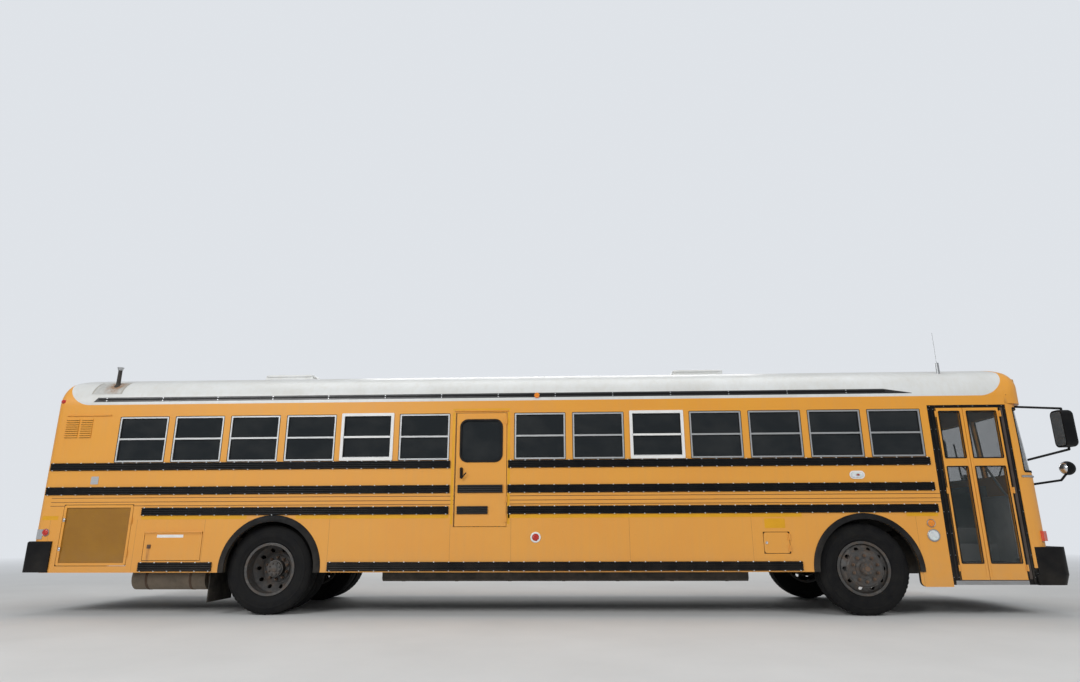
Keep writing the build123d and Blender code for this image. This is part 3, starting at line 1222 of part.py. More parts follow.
WARNING_Z = (LAMP_BOARD[2] + LAMP_BOARD[3]) / 2
TAIL_LAMPS = [(980.0, 1640.0, 90.0), (700.0, 1640.0, 90.0), (1060.0, 1180.0, 50.0)]
TAIL_AMBER = [(1060.0, 1400.0, 60.0)]
REVERSE_LAMPS = [(1060.0, 1040.0, 50.0)]
SIDE_RED = [(-2760.0, 944.0, 39.0), (3188.0, 870.0, 40.0)]
SIDE_AMBER = [(7765.0, 1014.0, 41.0)]
SIDE_CLEAR = [(7774.0, 877.0, 60.0)]
SIDE_MARKER = (6992.0, 1569.0, 145.0, 65.0)
ROOF_MARKER = (3208.0, 2563.0, 35.0)
with BuildPart() as lamps_amber:
    for side in (RIGHT, LEFT):
        middle = (at(ROOF_MARKER[0]), side * (HALF_WIDTH - 20), ROOF_MARKER[1])
        with Locations(Plane(origin=middle, z_dir=(0, side, 0))):
            Cylinder(ROOF_MARKER[2], 90)
    extrude(body_section(ROOF_MARKER[0] - 100, 0, SKIRT_Z), amount=200, mode=Mode.SUBTRACT)
    for side in (RIGHT, LEFT):
        add(lens_on(front_plane(side * WARNING_LAMPS[0][0], WARNING_Z), WARNING_R))
        add(lens_on(rear_plane(side * WARNING_LAMPS[0][0], WARNING_Z), WARNING_R))
        for y, z, radius in TAIL_AMBER:
            add(lens_on(rear_plane(side * y, z), radius))
        for station, z, radius in SIDE_AMBER:
            add(lens_on(skin_plane(side, station, z), radius, SIDE_LENS_OUT))
save(lamps_amber, "lamps_amber")
with BuildPart() as lamps_red:
    for side in (RIGHT, LEFT):
        add(lens_on(front_plane(side * WARNING_LAMPS[1][0], WARNING_Z), WARNING_R))
        add(lens_on(rear_plane(side * WARNING_LAMPS[1][0], WARNING_Z), WARNING_R))
        for y, z, radius in TAIL_LAMPS:
            add(lens_on(rear_plane(side * y, z), radius))
        for station, z, radius in SIDE_RED:
            add(lens_on(skin_plane(side, station, z), radius, SIDE_LENS_OUT))
save(lamps_red, "lamps_red")

# Headlamps: two round ones on each side in the bowed face, and small lamps on the sides and at the back.
HEADLAMPS = [(700.0, 85.0), (905.0, 85.0)]
HEADLAMP_Z = 875.0
HEADLAMP_OUT = 18.0
with BuildPart() as lamps_clear:
    extrude(nose_plan(HEADLAMP_Z - WARNING_R, -HEADLAMP_OUT), amount=2 * WARNING_R)
    extrude(nose_plan(HEADLAMP_Z - WARNING_R, 0), amount=2 * WARNING_R, mode=Mode.SUBTRACT)
    with BuildSketch(Plane.YZ.offset(at(FRONT_JOINT + 150))):
        for y, radius in HEADLAMPS:
            with Locations((y, HEADLAMP_Z), (-y, HEADLAMP_Z)):
                Circle(radius)
    extrude(amount=400, mode=Mode.INTERSECT)
    for side in (RIGHT, LEFT):
        for y, z, radius in REVERSE_LAMPS:
            add(lens_on(rear_plane(side * y, z), radius))
        for station, z, radius in SIDE_CLEAR:
            add(lens_on(skin_plane(side, station, z), radius, SIDE_LENS_OUT))
        with BuildSketch(skin_plane(side, SIDE_MARKER[0], SIDE_MARKER[1])):
            SlotOverall(SIDE_MARKER[2], SIDE_MARKER[3])
        extrude(amount=SIDE_LENS_OUT)
save(lamps_clear, "lamps_clear")

# Roof fittings: a vent stack with a flared cap, low domes over the vents, and a whip aerial on the front cap.
VENT = (-2250.0, -1080.0, 3000.0)
VENT_R = 22.0
VENT_CAP = (28.0, 40.0, 40.0)
DOMES = [(-1650.0, 0.0), (3080.0, 0.0), (3470.0, 0.0)]
DOME_R = 90.0
DOME_RISE = 45.0
AERIAL = (8235.0, -1000.0, 3357.0)
AERIAL_R = 3.0
AERIAL_FOOT_R = 22.0
AERIAL_FOOT_TOP = 2960.0
with BuildPart() as roof_fittings:
    with Locations((at(VENT[0]), VENT[1], (CAP_Z + VENT[2]) / 2)):
        Cylinder(VENT_R, VENT[2] - CAP_Z)
    with Locations((at(VENT[0]), VENT[1], VENT[2])):
        Cone(*VENT_CAP)
    for station, y in DOMES:
        with Locations((at(station), y, CROWN_Z + DOME_RISE / 2 - 10)):
            Cylinder(DOME_R, DOME_RISE + 20)
    with Locations((at(AERIAL[0]), AERIAL[1], (CAP_Z + AERIAL[2]) / 2)):
        Cylinder(AERIAL_R, AERIAL[2] - CAP_Z)
    with Locations((at(AERIAL[0]), AERIAL[1], (CAP_Z + AERIAL_FOOT_TOP) / 2)):
        Cylinder(AERIAL_FOOT_R, AERIAL_FOOT_TOP - CAP_Z)
    extrude(body_section(REAR_JOINT, 0, SKIRT_Z), amount=BODY_LENGTH, mode=Mode.SUBTRACT)
save(roof_fittings, "roof_fittings")

# Wipers and stop arm.
WIPER_OUT = 12.0
WIPER_PIVOT = (250.0, 1585.0, 26.0)
WIPER_BLADE = (560.0, 1870.0, 500.0, 22.0)
WIPER_ARM_W = 18.0
with BuildPart() as wipers:
    extrude(nose_plan(LEDGE_Z, -WIPER_OUT, NOSE_BACK), amount=LEANING_LENGTH, dir=LEANING)
    extrude(nose_plan(LEDGE_Z, 0, CUT_BACK), amount=LEANING_LENGTH, dir=LEANING, mode=Mode.SUBTRACT)
    with BuildSketch(Plane.YZ.offset(at(FRONT_JOINT + 150))):
        for side in (RIGHT, LEFT):
            pivot = (side * WIPER_PIVOT[0], WIPER_PIVOT[1])
            middle = (side * WIPER_BLADE[0], WIPER_BLADE[1])
            reach = Vector(*pivot) - Vector(*middle)
            with Locations(middle):
                SlotOverall(WIPER_BLADE[2], WIPER_BLADE[3], rotation=90)
            with Locations((Vector(*pivot) + Vector(*middle)) / 2):
                SlotOverall(reach.length, WIPER_ARM_W, rotation=degrees(atan2(reach.Y, reach.X)))
            with Locations(pivot):
                Circle(WIPER_PIVOT[2])
    extrude(amount=400, mode=Mode.INTERSECT)
save(wipers, "wipers")

STOP_ARM_R = 17.0
STOP_ARM_X = 7560.0
with BuildPart() as stop_arm:
    with BuildSketch(side_plane(LEFT, 26)):
        with Locations((at(STOP_ARM_X - 230), 1582)):
            RegularPolygon(225, 8, rotation=22.5)
    extrude(amount=outward(LEFT, 8))
    with Locations((at(STOP_ARM_X), HALF_WIDTH + STOP_ARM_R + SEAT_GAP, 1582)):
        Cylinder(STOP_ARM_R, 150)
    block((STOP_ARM_X - 40, STOP_ARM_X), (HALF_WIDTH + 26, HALF_WIDTH + 34), (1522, 1642))
save(stop_arm, "stop_arm")
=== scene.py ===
import json
import math

import bmesh
import bpy
from mathutils import Matrix, Vector
from mathutils.bvhtree import BVHTree


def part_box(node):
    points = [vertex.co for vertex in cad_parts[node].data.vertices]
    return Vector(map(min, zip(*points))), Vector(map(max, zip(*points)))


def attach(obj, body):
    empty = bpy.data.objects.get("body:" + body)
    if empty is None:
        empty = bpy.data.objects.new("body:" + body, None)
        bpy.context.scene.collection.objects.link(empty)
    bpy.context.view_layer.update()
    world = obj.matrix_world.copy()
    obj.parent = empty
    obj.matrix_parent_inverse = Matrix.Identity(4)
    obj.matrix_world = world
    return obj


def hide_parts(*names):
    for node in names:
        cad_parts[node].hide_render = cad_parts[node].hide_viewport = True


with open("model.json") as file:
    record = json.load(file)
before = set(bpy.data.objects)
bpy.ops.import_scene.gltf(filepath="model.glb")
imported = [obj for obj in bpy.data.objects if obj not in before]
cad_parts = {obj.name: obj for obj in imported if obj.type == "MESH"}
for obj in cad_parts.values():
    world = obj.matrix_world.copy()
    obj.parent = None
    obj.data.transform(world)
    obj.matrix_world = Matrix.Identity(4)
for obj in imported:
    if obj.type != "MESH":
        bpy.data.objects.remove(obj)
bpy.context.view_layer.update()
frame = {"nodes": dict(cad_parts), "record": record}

RIGHT, LEFT = -1, 1
SIDES = ((RIGHT, "right"), (LEFT, "left"))

# Driving sizes in metres. A station is a distance ahead of the rear axle, as on the solids.
REAR_AXLE_X = -3.3125
WHEELBASE = 6.975
HALF_WIDTH = 1.219
AXLE_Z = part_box("tyre_front_right")[1][2] / 2
TYRE_R = AXLE_Z
EAVE_Z = 2.5035
CROWN_Z = 3.0
ROOF_CORNER_R = 0.35
ROOF_TOP_R = 3.0
SECTION = 0.7112

# Openings in the side: (rear edge, front edge, bottom, top).
EMERGENCY = (2.205, 2.842, 0.990, 2.355)
EMERGENCY_WINDOW = (2.268, 2.784, 1.753, 2.268)
SCREEN = (-2.583, -1.710, 0.554, 1.270)
BATTERY = (-1.527, -0.813, 0.614, 0.945)
FUEL = (5.834, 6.139, 0.680, 0.924)
ENTRY = (7.918, 8.835, 0.339, 2.390)
DRIVER_WINDOW = (7.975, 8.760, 1.640, 2.345)

# The lamp boards on the front cap lean back towards the sides, so that they follow the bow.
BOARD_FACE = 9.190
BOARD_INNER, BOARD_OUTER = 0.530, 1.030
BOARD_BACK = 0.090
BOARD_LEAN = BOARD_BACK / (BOARD_OUTER - BOARD_INNER)

# Wheel openings: (station, height, radius).
ARCHES = ((0.030, 0.523, 0.614), (WHEELBASE + 0.030, 0.505, 0.625))


def at(station):
    return REAR_AXLE_X + station


REAR_X = at(-2.920)
COAT = {"Coat_Weight": 0.25, "Coat_Roughness": 0.25}
ROAD_DUST = (0.30, 0.25, 0.19)


# Materials
class Paint:
    """A Principled material and short ways to add nodes to it. Positions are those of the shared frame."""

    def __init__(self, name, rough=0.5, metal=0.0, **sockets):
        self.mat = bpy.data.materials.new(name)
        self.mat.use_nodes = True
        self.tree = self.mat.node_tree
        self.shader = self.tree.nodes["Principled BSDF"]
        for key, value in {"Roughness": rough, "Metallic": metal, **sockets}.items():
            self.shader.inputs[key.replace("_", " ")].default_value = value
        self.place = self.node("ShaderNodeTexCoord").outputs["Object"]
        self.x, self.y, self.z = self.node("ShaderNodeSeparateXYZ", Vector=self.place).outputs

    def node(self, kind, out=None, **inputs):
        made = self.tree.nodes.new(kind)
        for key, value in inputs.items():
            self.put(value, made.inputs[int(key[1:]) if key[0] == "i" and key[1:].isdigit() else key])
        return made if out is None else made.outputs[out]

    def put(self, value, socket):
        if isinstance(value, bpy.types.NodeSocket):
            self.tree.links.new(value, socket)
        elif socket.type == "RGBA" and len(value) == 3:
            socket.default_value = (*value, 1.0)
        else:
            socket.default_value = value

    def math(self, how, a, b=0.0):
        made = self.node("ShaderNodeMath", i0=a, i1=b)
        made.operation = how
        return made.outputs[0]

    def times(self, first, *others):
        for other in others:
            first = self.math("MULTIPLY", first, other)
        return first

    def minus(self, a, b):
        return self.math("SUBTRACT", a, b)

    def beside(self):
        """Distance from the middle plane of the bus."""
        return self.math("ABSOLUTE", self.y)

    def distance(self, *pairs):
        """Distance in a plane, from (value, middle) of its two axes."""
        squares = [self.math("POWER", self.minus(value, middle), 2.0) for value, middle in pairs]
        return self.math("SQRT", self.math("ADD", *squares))

    def waves(self, value, pitch):
        return self.math("SINE", self.times(value, 2 * math.pi / pitch))

    def stretched(self, factors):
        made = self.node("ShaderNodeVectorMath", i0=self.place, i1=factors)
        made.operation = "MULTIPLY"
        return made.outputs[0]

    def noise(self, scale, detail=4.0, stretch=(1, 1, 1), rough=0.6):
        return self.node("ShaderNodeTexNoise", "Fac", Vector=self.stretched(stretch), Scale=scale,
                         Detail=detail, Roughness=rough)

    def span(self, value, low, high, a=0.0, b=1.0):
        """Straight change from a to b while the value goes from low to high."""
        made = self.node("ShaderNodeMapRange", "Result", Value=value)
        made.node.clamp = True
        for socket, number in zip(("From Min", "From Max", "To Min", "To Max"), (low, high, a, b)):
            made.node.inputs[socket].default_value = number
        return made

    def until(self, value, low, high):
        """1 up to the lower limit, 0 from the upper one."""
        return self.span(value, low, high, 1.0, 0.0)

    def inside(self, value, low, high, soft=0.0015):
        """1 between two limits, with a thin soft edge."""
        return self.times(self.span(value, low - soft, low + soft),
                          self.until(value, high - soft, high + soft))

    def patches(self, scale, detail, low, high, a=0.0, b=1.0, **more):
        """A change from a to b where the noise goes from low to high."""
        return self.span(self.noise(scale, detail, **more), low, high, a, b)

    def blend(self, factor, a, b):
        made = self.tree.nodes.new("ShaderNodeMix")
        made.data_type = "RGBA"
        for value, socket in ((factor, 0), (a, 6), (b, 7)):
            self.put(value, made.inputs[socket])
        return made.outputs[2]

    def set(self, socket, value):
        self.put(value, self.shader.inputs[socket])

    def bump(self, height, depth, strength):
        self.set("Normal", self.node("ShaderNodeBump", 0, Height=height, Strength=strength, Distance=depth))

    def finished(self, colour, rough, bump):
        """Rough is the arguments of patches, bump is (noise scale, detail, depth, strength)."""
        self.set("Base Color", colour)
        self.set("Roughness", self.patches(*rough))
        self.bump(self.noise(*bump[:2]), *bump[2:])
        return self.mat


def grime(paint, colour, top=0.9, amount=0.55, tint=ROAD_DUST):
    """Road dust that thickens towards the ground, broken up by noise."""
    height = paint.span(paint.z, 0.25, top, amount, 0.0)
    return paint.blend(paint.times(height, paint.patches(5.0, 6.0, 0.30, 0.75)), colour, tint)


def streaks(paint):
    """Rain marks that run down a wall."""
    return paint.patches(3.0, 5.0, 0.45, 0.85, stretch=(6.0, 6.0, 0.35))


def yellow_base(paint):
    """Sun-faded orange-yellow below the belt, deeper yellow above it, with clouds, streaks and specks."""
    base = paint.blend(paint.span(paint.z, 1.25, 2.1), (0.745, 0.338, 0.052), (0.740, 0.325, 0.030))
    for mask, share, tint in ((paint.patches(0.9, 5.0, 0.35, 0.7), 0.40, (0.700, 0.275, 0.040)),
                              (streaks(paint), 0.18, (0.54, 0.30, 0.11)),
                              (paint.patches(90.0, 2.0, 0.68, 0.74), 0.35, (0.40, 0.22, 0.09))):
        base = paint.blend(paint.times(mask, share), base, tint)
    return base


def finish_coat(paint, colour):
    dusty = grime(paint, colour, 0.80, 0.32, (0.44, 0.32, 0.18))
    return paint.finished(dusty, (14.0, 4.0, 0.3, 0.8, 0.34, 0.55), (1.6, 3.0, 0.004, 0.35))


# Vertical panel joints of the side, as stations, the latch from which rust runs down (station, bottom, top),
# and the heights of the pressed grooves, along which shade is painted.
PANEL_JOINTS = (-2.724, -1.640, -0.800, 0.720, 2.172, 2.896, 4.290, 5.710, 7.600)
RUST_RUN = (-1.454, 0.600, 0.775)
GROOVES = (1.253, 1.298, 1.348)


def body_yellow(name="body_yellow", wall=False):
    """Outer panels; on the walls painted shade darkens the pressed grooves, and the inner faces have their
    own finish.
    """
    paint = Paint(name, 0.42, **COAT)
    base = yellow_base(paint)
    # Painted shade: a darker yellow band inside each pressed groove, where shade falls.
    for height in GROOVES if wall else ():
        groove = paint.inside(paint.z, height - 0.0040, height + 0.0045, 0.0008)
        base = paint.blend(groove, base, (0.24, 0.105, 0.018))
    for station in PANEL_JOINTS:
        line = paint.times(paint.inside(paint.x, at(station) - 0.0012, at(station) + 0.0012, 0.0004),
                           paint.inside(paint.z, 0.30, 1.09), 0.75)
        base = paint.blend(line, base, (0.16, 0.08, 0.03))
    station, bottom, top = RUST_RUN
    run = paint.times(paint.inside(paint.x, at(station) - 0.020, at(station) + 0.014, 0.012),
                      paint.inside(paint.z, bottom, top, 0.02),
                      paint.patches(9.0, 5.0, 0.35, 0.65, stretch=(8.0, 8.0, 0.6)), 0.8)
    base = paint.blend(run, base, (0.26, 0.10, 0.035))
    if not wall:
        return finish_coat(paint, base)
    lining = paint.blend(paint.span(paint.z, 1.150, 1.155), (0.016, 0.015, 0.014), (0.42, 0.43, 0.40))
    base = paint.blend(paint.until(paint.beside(), HALF_WIDTH - 0.0055, HALF_WIDTH - 0.0050), base, lining)
    for station, height, radius in ARCHES:
        away = paint.distance((paint.x, at(station)), (paint.z, height))
        cut = paint.times(paint.until(away, radius + 0.004, radius + 0.006),
                          paint.until(paint.beside(), HALF_WIDTH - 0.0015, HALF_WIDTH - 0.0010))
        base = paint.blend(cut, base, (0.012, 0.012, 0.012))
    return finish_coat(paint, base)


MESH_RIM = 0.036
MESH_PITCH = 0.016


def screen_yellow():
    """The radiator doors: a yellow rim round darker mesh with diamond openings."""
    paint = Paint("screen_yellow", 0.5)
    low, high, bottom, top = SCREEN
    hole = paint.times(paint.inside(paint.x, at(low) + MESH_RIM, at(high) - MESH_RIM),
                       paint.inside(paint.z, bottom + MESH_RIM, top - MESH_RIM),
                       paint.until(paint.beside(), HALF_WIDTH - 0.0035, HALF_WIDTH - 0.0030))
    rise = paint.waves(paint.math("ADD", paint.x, paint.z), MESH_PITCH)
    fall = paint.waves(paint.minus(paint.x, paint.z), MESH_PITCH)
    wires = paint.blend(paint.patches(2.5, 6.0, 0.3, 0.75), (0.52, 0.235, 0.007), (0.41, 0.175, 0.005))
    mesh = paint.blend(paint.span(paint.times(rise, fall), -0.2, 0.2), wires, (0.115, 0.053, 0.006))
    return finish_coat(paint, paint.blend(hole, yellow_base(paint), mesh))


def door_yellow():
    """The side emergency doors: yellow, with the rub rails on them black."""
    paint = Paint("door_yellow", 0.42, **COAT)
    rails = paint.math("MAXIMUM", paint.inside(paint.z, 1.383, 1.482), paint.inside(paint.z, 1.136, 1.232))
    black = paint.times(paint.span(paint.beside(), HALF_WIDTH + 0.0003, HALF_WIDTH + 0.0008),
                        paint.until(paint.x, at(2.79), at(2.80)), rails)
    paint.set("Coat Weight", paint.span(black, 0.0, 1.0, COAT["Coat_Weight"], 0.0))
    return finish_coat(paint, paint.blend(black, yellow_base(paint), (0.002, 0.002, 0.002)))


# The roof's white ends in a rounded nose at each end: (station of the tip, reach of the curve, direction).
WHITE_NOSES = ((8.95, 0.38, 1.0), (-2.87, 0.39, -1.0))


def roof_enamel(paint):
    return paint.blend(paint.patches(2.2, 5.0, 0.35, 0.75), (0.67, 0.68, 0.67), (0.585, 0.585, 0.56))


def white_area(paint):
    """1 above the eave, between the two curved limits of the white."""
    mask = paint.span(paint.z, EAVE_Z - 0.001, EAVE_Z + 0.001)
    drop = paint.until(paint.z, EAVE_Z, CROWN_Z)
    curve = paint.minus(1.0, paint.math("SQRT", paint.minus(1.0, paint.math("POWER", drop, 2.0))))
    for station, reach, turn in WHITE_NOSES:
        limit = paint.minus(at(station), paint.times(curve, turn * reach))
        mask = paint.times(mask, paint.span(paint.times(paint.minus(limit, paint.x), turn), -0.002, 0.002))
    return mask


def two_tone():
    """Both ends of the body: yellow, the roof's white with its round nose, and black lamp boards."""
    paint = Paint("two_tone", 0.40, **COAT)
    base = paint.blend(white_area(paint), yellow_base(paint), roof_enamel(paint))
    leaned = paint.span(paint.beside(), BOARD_INNER, BOARD_OUTER, at(BOARD_FACE), at(BOARD_FACE) - BOARD_BACK)
    front = paint.span(paint.minus(paint.x, leaned), -0.0090, -0.0085)
    rear = paint.until(paint.x, at(-2.9190), at(-2.9185))
    boards = paint.times(paint.inside(paint.beside(), 0.500, 1.060), paint.inside(paint.z, 2.505, 2.735),
                         paint.math("MAXIMUM", front, rear))
    return finish_coat(paint, paint.blend(boards, base, (0.018, 0.018, 0.019)))


def roof_white():
    """White enamel with the black stripe that runs along both eaves."""
    paint = Paint("roof_white", 0.38, Coat_Weight=0.2, Coat_Roughness=0.3)
    base = paint.blend(paint.times(streaks(paint), 0.3), roof_enamel(paint), (0.52, 0.47, 0.38))
    rear_taper = paint.minus(paint.x, paint.span(paint.z, 2.54, 2.60, at(-2.443), at(-2.396)))
    front_taper = paint.minus(paint.span(paint.x, at(7.436), at(7.771), 2.60, 2.545), paint.z)
    stripe = paint.times(paint.span(paint.z, 2.5385, 2.5415), paint.span(rear_taper, -0.003, 0.003),
                         paint.span(front_taper, -0.002, 0.002), paint.until(paint.x, at(7.765), at(7.771)))
    base = paint.blend(stripe, base, (0.012, 0.012, 0.013))
    return paint.finished(paint.blend(white_area(paint), yellow_base(paint), base),
                          (9.0, 4.0, 0.3, 0.8, 0.32, 0.5), (2.2, 3.0, 0.004, 0.3))


def worn(name, dark, light, rough=(0.35, 0.6), dust=0.5, metal=0.0, grain=60.0, depth=0.0006, top=1.0,
         tint=ROAD_DUST, **sockets):
    """A painted, cast or moulded finish: two close shades, fine grain and dust near the ground."""
    paint = Paint(name, rough[0], metal, **sockets)
    base = paint.blend(paint.patches(7.0, 6.0, 0.32, 0.72), dark, light)
    return paint.finished(grime(paint, base, top, dust, tint), (23.0, 4.0, 0.3, 0.75, *rough),
                          (grain, 3.0, depth, 0.5))


def glass(name, tint, alpha, rough=0.03, dust=0.05):
    paint = Paint(name, rough, IOR=1.5, Alpha=alpha)
    film = paint.patches(1.7, 5.0, 0.45, 0.8, 0.0, dust, stretch=(1, 1, 1.6))
    colour = paint.blend(film, tint, (0.42, 0.40, 0.36))
    return paint.finished(colour, (6.0, 4.0, 0.4, 0.8, rough, rough + 0.06), (0.8, 2.0, 0.003, 0.25))


def brushed(name, colour, rough=0.35, dust=0.35):
    paint = Paint(name, rough, 0.9)
    lines = paint.noise(40.0, 4.0, (0.2, 1.0, 8.0))
    base = paint.blend(paint.span(lines, 0.3, 0.7), colour, tuple(0.82 * c for c in colour))
    paint.set("Base Color", grime(paint, base, 1.0, dust))
    paint.set("Roughness", paint.span(lines, 0.3, 0.7, rough - 0.06, rough + 0.12))
    paint.bump(lines, 0.0004, 0.4)
    return paint.mat


def tyre_rubber():
    paint = Paint("tyre", 0.85, Specular_IOR_Level=0.2)
    dusty = paint.patches(8.0, 6.0, 0.35, 0.75)
    paint.set("Base Color", paint.blend(dusty, (0.005, 0.005, 0.006), (0.016, 0.0155, 0.0145)))
    paint.set("Roughness", paint.span(dusty, 0.0, 1.0, 0.68, 0.92))
    paint.bump(paint.noise(180.0, 3.0), 0.0008, 0.6)
    return paint.mat


def rusty_wheel():
    paint = Paint("wheel_steel", 0.62, 0.25)
    rust = paint.patches(9.0, 8.0, 0.48, 0.72, rough=0.7)
    base = paint.blend(rust, (0.068, 0.066, 0.064), (0.110, 0.074, 0.050))
    dust = paint.patches(26.0, 6.0, 0.5, 0.8, 0.0, 0.7)
    paint.set("Base Color", paint.blend(dust, base, (0.17, 0.155, 0.14)))
    paint.set("Roughness", paint.span(rust, 0.0, 1.0, 0.45, 0.85))
    paint.bump(paint.noise(70.0, 5.0), 0.0012, 0.7)
    return paint.mat


def vinyl():
    """Coated seat fabric with a fine leather grain."""
    paint = Paint("vinyl_seat", 0.48, Sheen_Weight=0.1)
    shade = paint.patches(5.0, 5.0, 0.3, 0.75)
    paint.set("Base Color", paint.blend(shade, (0.030, 0.045, 0.036), (0.050, 0.066, 0.052)))
    paint.set("Roughness", paint.patches(30.0, 3.0, 0.3, 0.7, 0.38, 0.56))
    grain = paint.node("ShaderNodeTexVoronoi", "Distance", Vector=paint.stretched((1, 1, 1)), Scale=420.0)
    paint.bump(grain, 0.0006, 0.6)
    return paint.mat


def ribbed(name, rough, base, value, pitch, depth, strength, **sockets):
    """Two shades of a patchy colour, base being (noise and limits, dark, light), with straight ribs."""
    paint = Paint(name, rough, **sockets)
    paint.set("Base Color", paint.blend(paint.patches(*base[0]), *base[1:]))
    paint.bump(paint.waves(getattr(paint, value), pitch), depth, strength)
    return paint.mat


def lens(name, colour):
    """Moulded lens with fine optical ribs."""
    base = ((25.0, 3.0, 0.3, 0.8), colour, tuple(0.72 * c for c in colour))
    return ribbed(name, 0.16, base, "z", 1 / 110, 0.0008, 0.5, Coat_Weight=0.6, Coat_Roughness=0.05,
                  Subsurface_Weight=0.15)


# The vent stack and the patch of bare sheet round it, as stations and Y.
STACK = (-2.250, -1.080)
PATCH = (-2.505, -2.110)


def roof_patch():
    """Bare sheet round the vent stack, rusted near it, with a rim of old sealant."""
    paint = Paint("patched_metal", 0.5, 0.3)
    base = paint.blend(paint.patches(30.0, 5.0, 0.35, 0.75), (0.46, 0.46, 0.44), (0.60, 0.59, 0.55))
    away = paint.distance((paint.x, at(STACK[0])), (paint.y, STACK[1]))
    rust = paint.times(paint.until(away, 0.04, 0.15), paint.patches(14.0, 7.0, 0.38, 0.56))
    base = paint.blend(rust, base, (0.30, 0.15, 0.06))
    rim = paint.minus(1.0, paint.inside(paint.x, at(PATCH[0]) + 0.020, at(PATCH[1]) - 0.020, 0.008))
    base = paint.blend(paint.times(rim, 0.7), base, (0.34, 0.31, 0.25))
    return paint.finished(base, (23.0, 4.0, 0.3, 0.75, 0.4, 0.7), (30.0, 3.0, 0.0012, 0.5))


# Plain finishes: (name, dark shade, light shade, roughness from and to, dust, other values of worn).
WORN = [
    ("black_paint", (0.004, 0.004, 0.005), (0.010, 0.010, 0.010), (0.30, 0.50), 0.10,
     {"top": 0.8, "Specular_IOR_Level": 0.16}),
    ("black_rubber", (0.007, 0.007, 0.007), (0.017, 0.016, 0.016), (0.55, 0.8), 0.2,
     {"grain": 120.0, "Specular_IOR_Level": 0.18}),
    ("chassis_black", (0.020, 0.018, 0.016), (0.055, 0.046, 0.037), (0.6, 0.85), 0.8,
     {"top": 1.1, "tint": (0.13, 0.105, 0.08)}),
    ("seat_steel", (0.10, 0.10, 0.105), (0.17, 0.17, 0.175), (0.4, 0.6), 0.1, {}),
    ("dash_plastic", (0.055, 0.055, 0.058), (0.09, 0.09, 0.092), (0.45, 0.65), 0.1, {"grain": 300.0}),
    ("stop_red", (0.55, 0.012, 0.010), (0.62, 0.020, 0.014), (0.3, 0.45), 0.05, {}),
    ("tank_grey", (0.26, 0.26, 0.25), (0.40, 0.39, 0.37), (0.5, 0.7), 0.5, {"tint": (0.16, 0.13, 0.10)}),
    ("muffler_tan", (0.22, 0.175, 0.13), (0.33, 0.26, 0.19), (0.5, 0.75), 0.5, {"metal": 0.3}),
    ("engine_iron", (0.03, 0.03, 0.03), (0.07, 0.065, 0.06), (0.55, 0.8), 0.6, {}),
    ("radiator_core", (0.015, 0.015, 0.015), (0.045, 0.040, 0.034), (0.6, 0.8), 0.4, {}),
    ("tape_yellow", (0.66, 0.315, 0.004), (0.74, 0.360, 0.006), (0.35, 0.50), 0.03,
     {"grain": 500.0, "depth": 0.0003}),
    # Painted highlight: a pale non-metal paint that stands in for the glints of the rail screws.
    ("bright_screw", (0.60, 0.61, 0.62), (0.78, 0.79, 0.80), (0.25, 0.4), 0.0, {}),
    ("steel_panel", (0.40, 0.41, 0.41), (0.52, 0.53, 0.53), (0.35, 0.5), 0.3, {"tint": (0.20, 0.18, 0.15)}),
    ("white_plate", (0.72, 0.72, 0.70), (0.80, 0.80, 0.78), (0.3, 0.5), 0.2, {}),
    ("rusty_iron", (0.105, 0.062, 0.040), (0.190, 0.125, 0.085), (0.6, 0.85), 0.2, {"metal": 0.3}),
    # Painted shade: a darkened yellow for the strips under the louver lips.
    ("dark_slit", (0.20, 0.085, 0.006), (0.30, 0.14, 0.012), (0.6, 0.8), 0.0, {}),
    ("brown_seal", (0.040, 0.030, 0.025), (0.075, 0.055, 0.045), (0.5, 0.7), 0.2, {}),
]
MATERIALS = {row[0]: worn(*row[:5], **row[5]) for row in WORN}
MATERIALS |= {
    "body_yellow": body_yellow(),
    "wall_yellow": body_yellow("wall_yellow", True),
    "door_yellow": door_yellow(),
    "screen_yellow": screen_yellow(),
    "two_tone": two_tone(),
    "roof_white": roof_white(),
    "glass_dark": glass("glass_dark", (0.006, 0.009, 0.011), 0.95),
    "glass_clear": glass("glass_clear", (0.035, 0.045, 0.047), 0.32, 0.02, 0.12),
    "aluminium": brushed("aluminium", (0.55, 0.56, 0.57), 0.42),
    "window_trim": brushed("window_trim", (0.62, 0.63, 0.63), 0.5, 0.1),
    "chrome": brushed("chrome", (0.80, 0.80, 0.80), 0.18, 0.1),
    "mirror_glass": brushed("mirror_glass", (0.78, 0.80, 0.82), 0.08, 0.05),
    "wheel_steel": rusty_wheel(),
    "tyre": tyre_rubber(),
    "floor_rubber": ribbed("floor_rubber", 0.8, ((4.0, 6.0, 0.35, 0.75), (0.035, 0.035, 0.036),
                                                 (0.095, 0.085, 0.072)), "y", 0.012, 0.0012, 0.6),
    "vinyl_seat": vinyl(),
    "lens_amber": lens("lens_amber", (0.85, 0.26, 0.01)),
    "lens_red": lens("lens_red", (0.55, 0.018, 0.008)),
    "lens_clear": lens("lens_clear", (0.74, 0.76, 0.76)),
    "lens_amber_red": lens("lens_amber_red", (0.80, 0.075, 0.012)),
    "patched_metal": roof_patch(),
}

# Nodes whose look differs from that of their material slot in the record.
SPECIAL = {
    "side_wall_right": "wall_yellow", "side_wall_left": "wall_yellow", "step_well": "steel_panel",
    "screen_door_right": "screen_yellow", "screen_door_left": "screen_yellow", "bumpers": "black_paint",
    "emergency_door_right": "door_yellow", "emergency_door_left": "door_yellow",
    "front_cap": "two_tone", "rear_wall": "two_tone", "window_frames": "window_trim",
}
for part in frame["record"]["subparts"]:
    for holder in frame["nodes"][part["node"]].material_slots:
        holder.material = MATERIALS[SPECIAL.get(part["node"], part["material_slot"])]


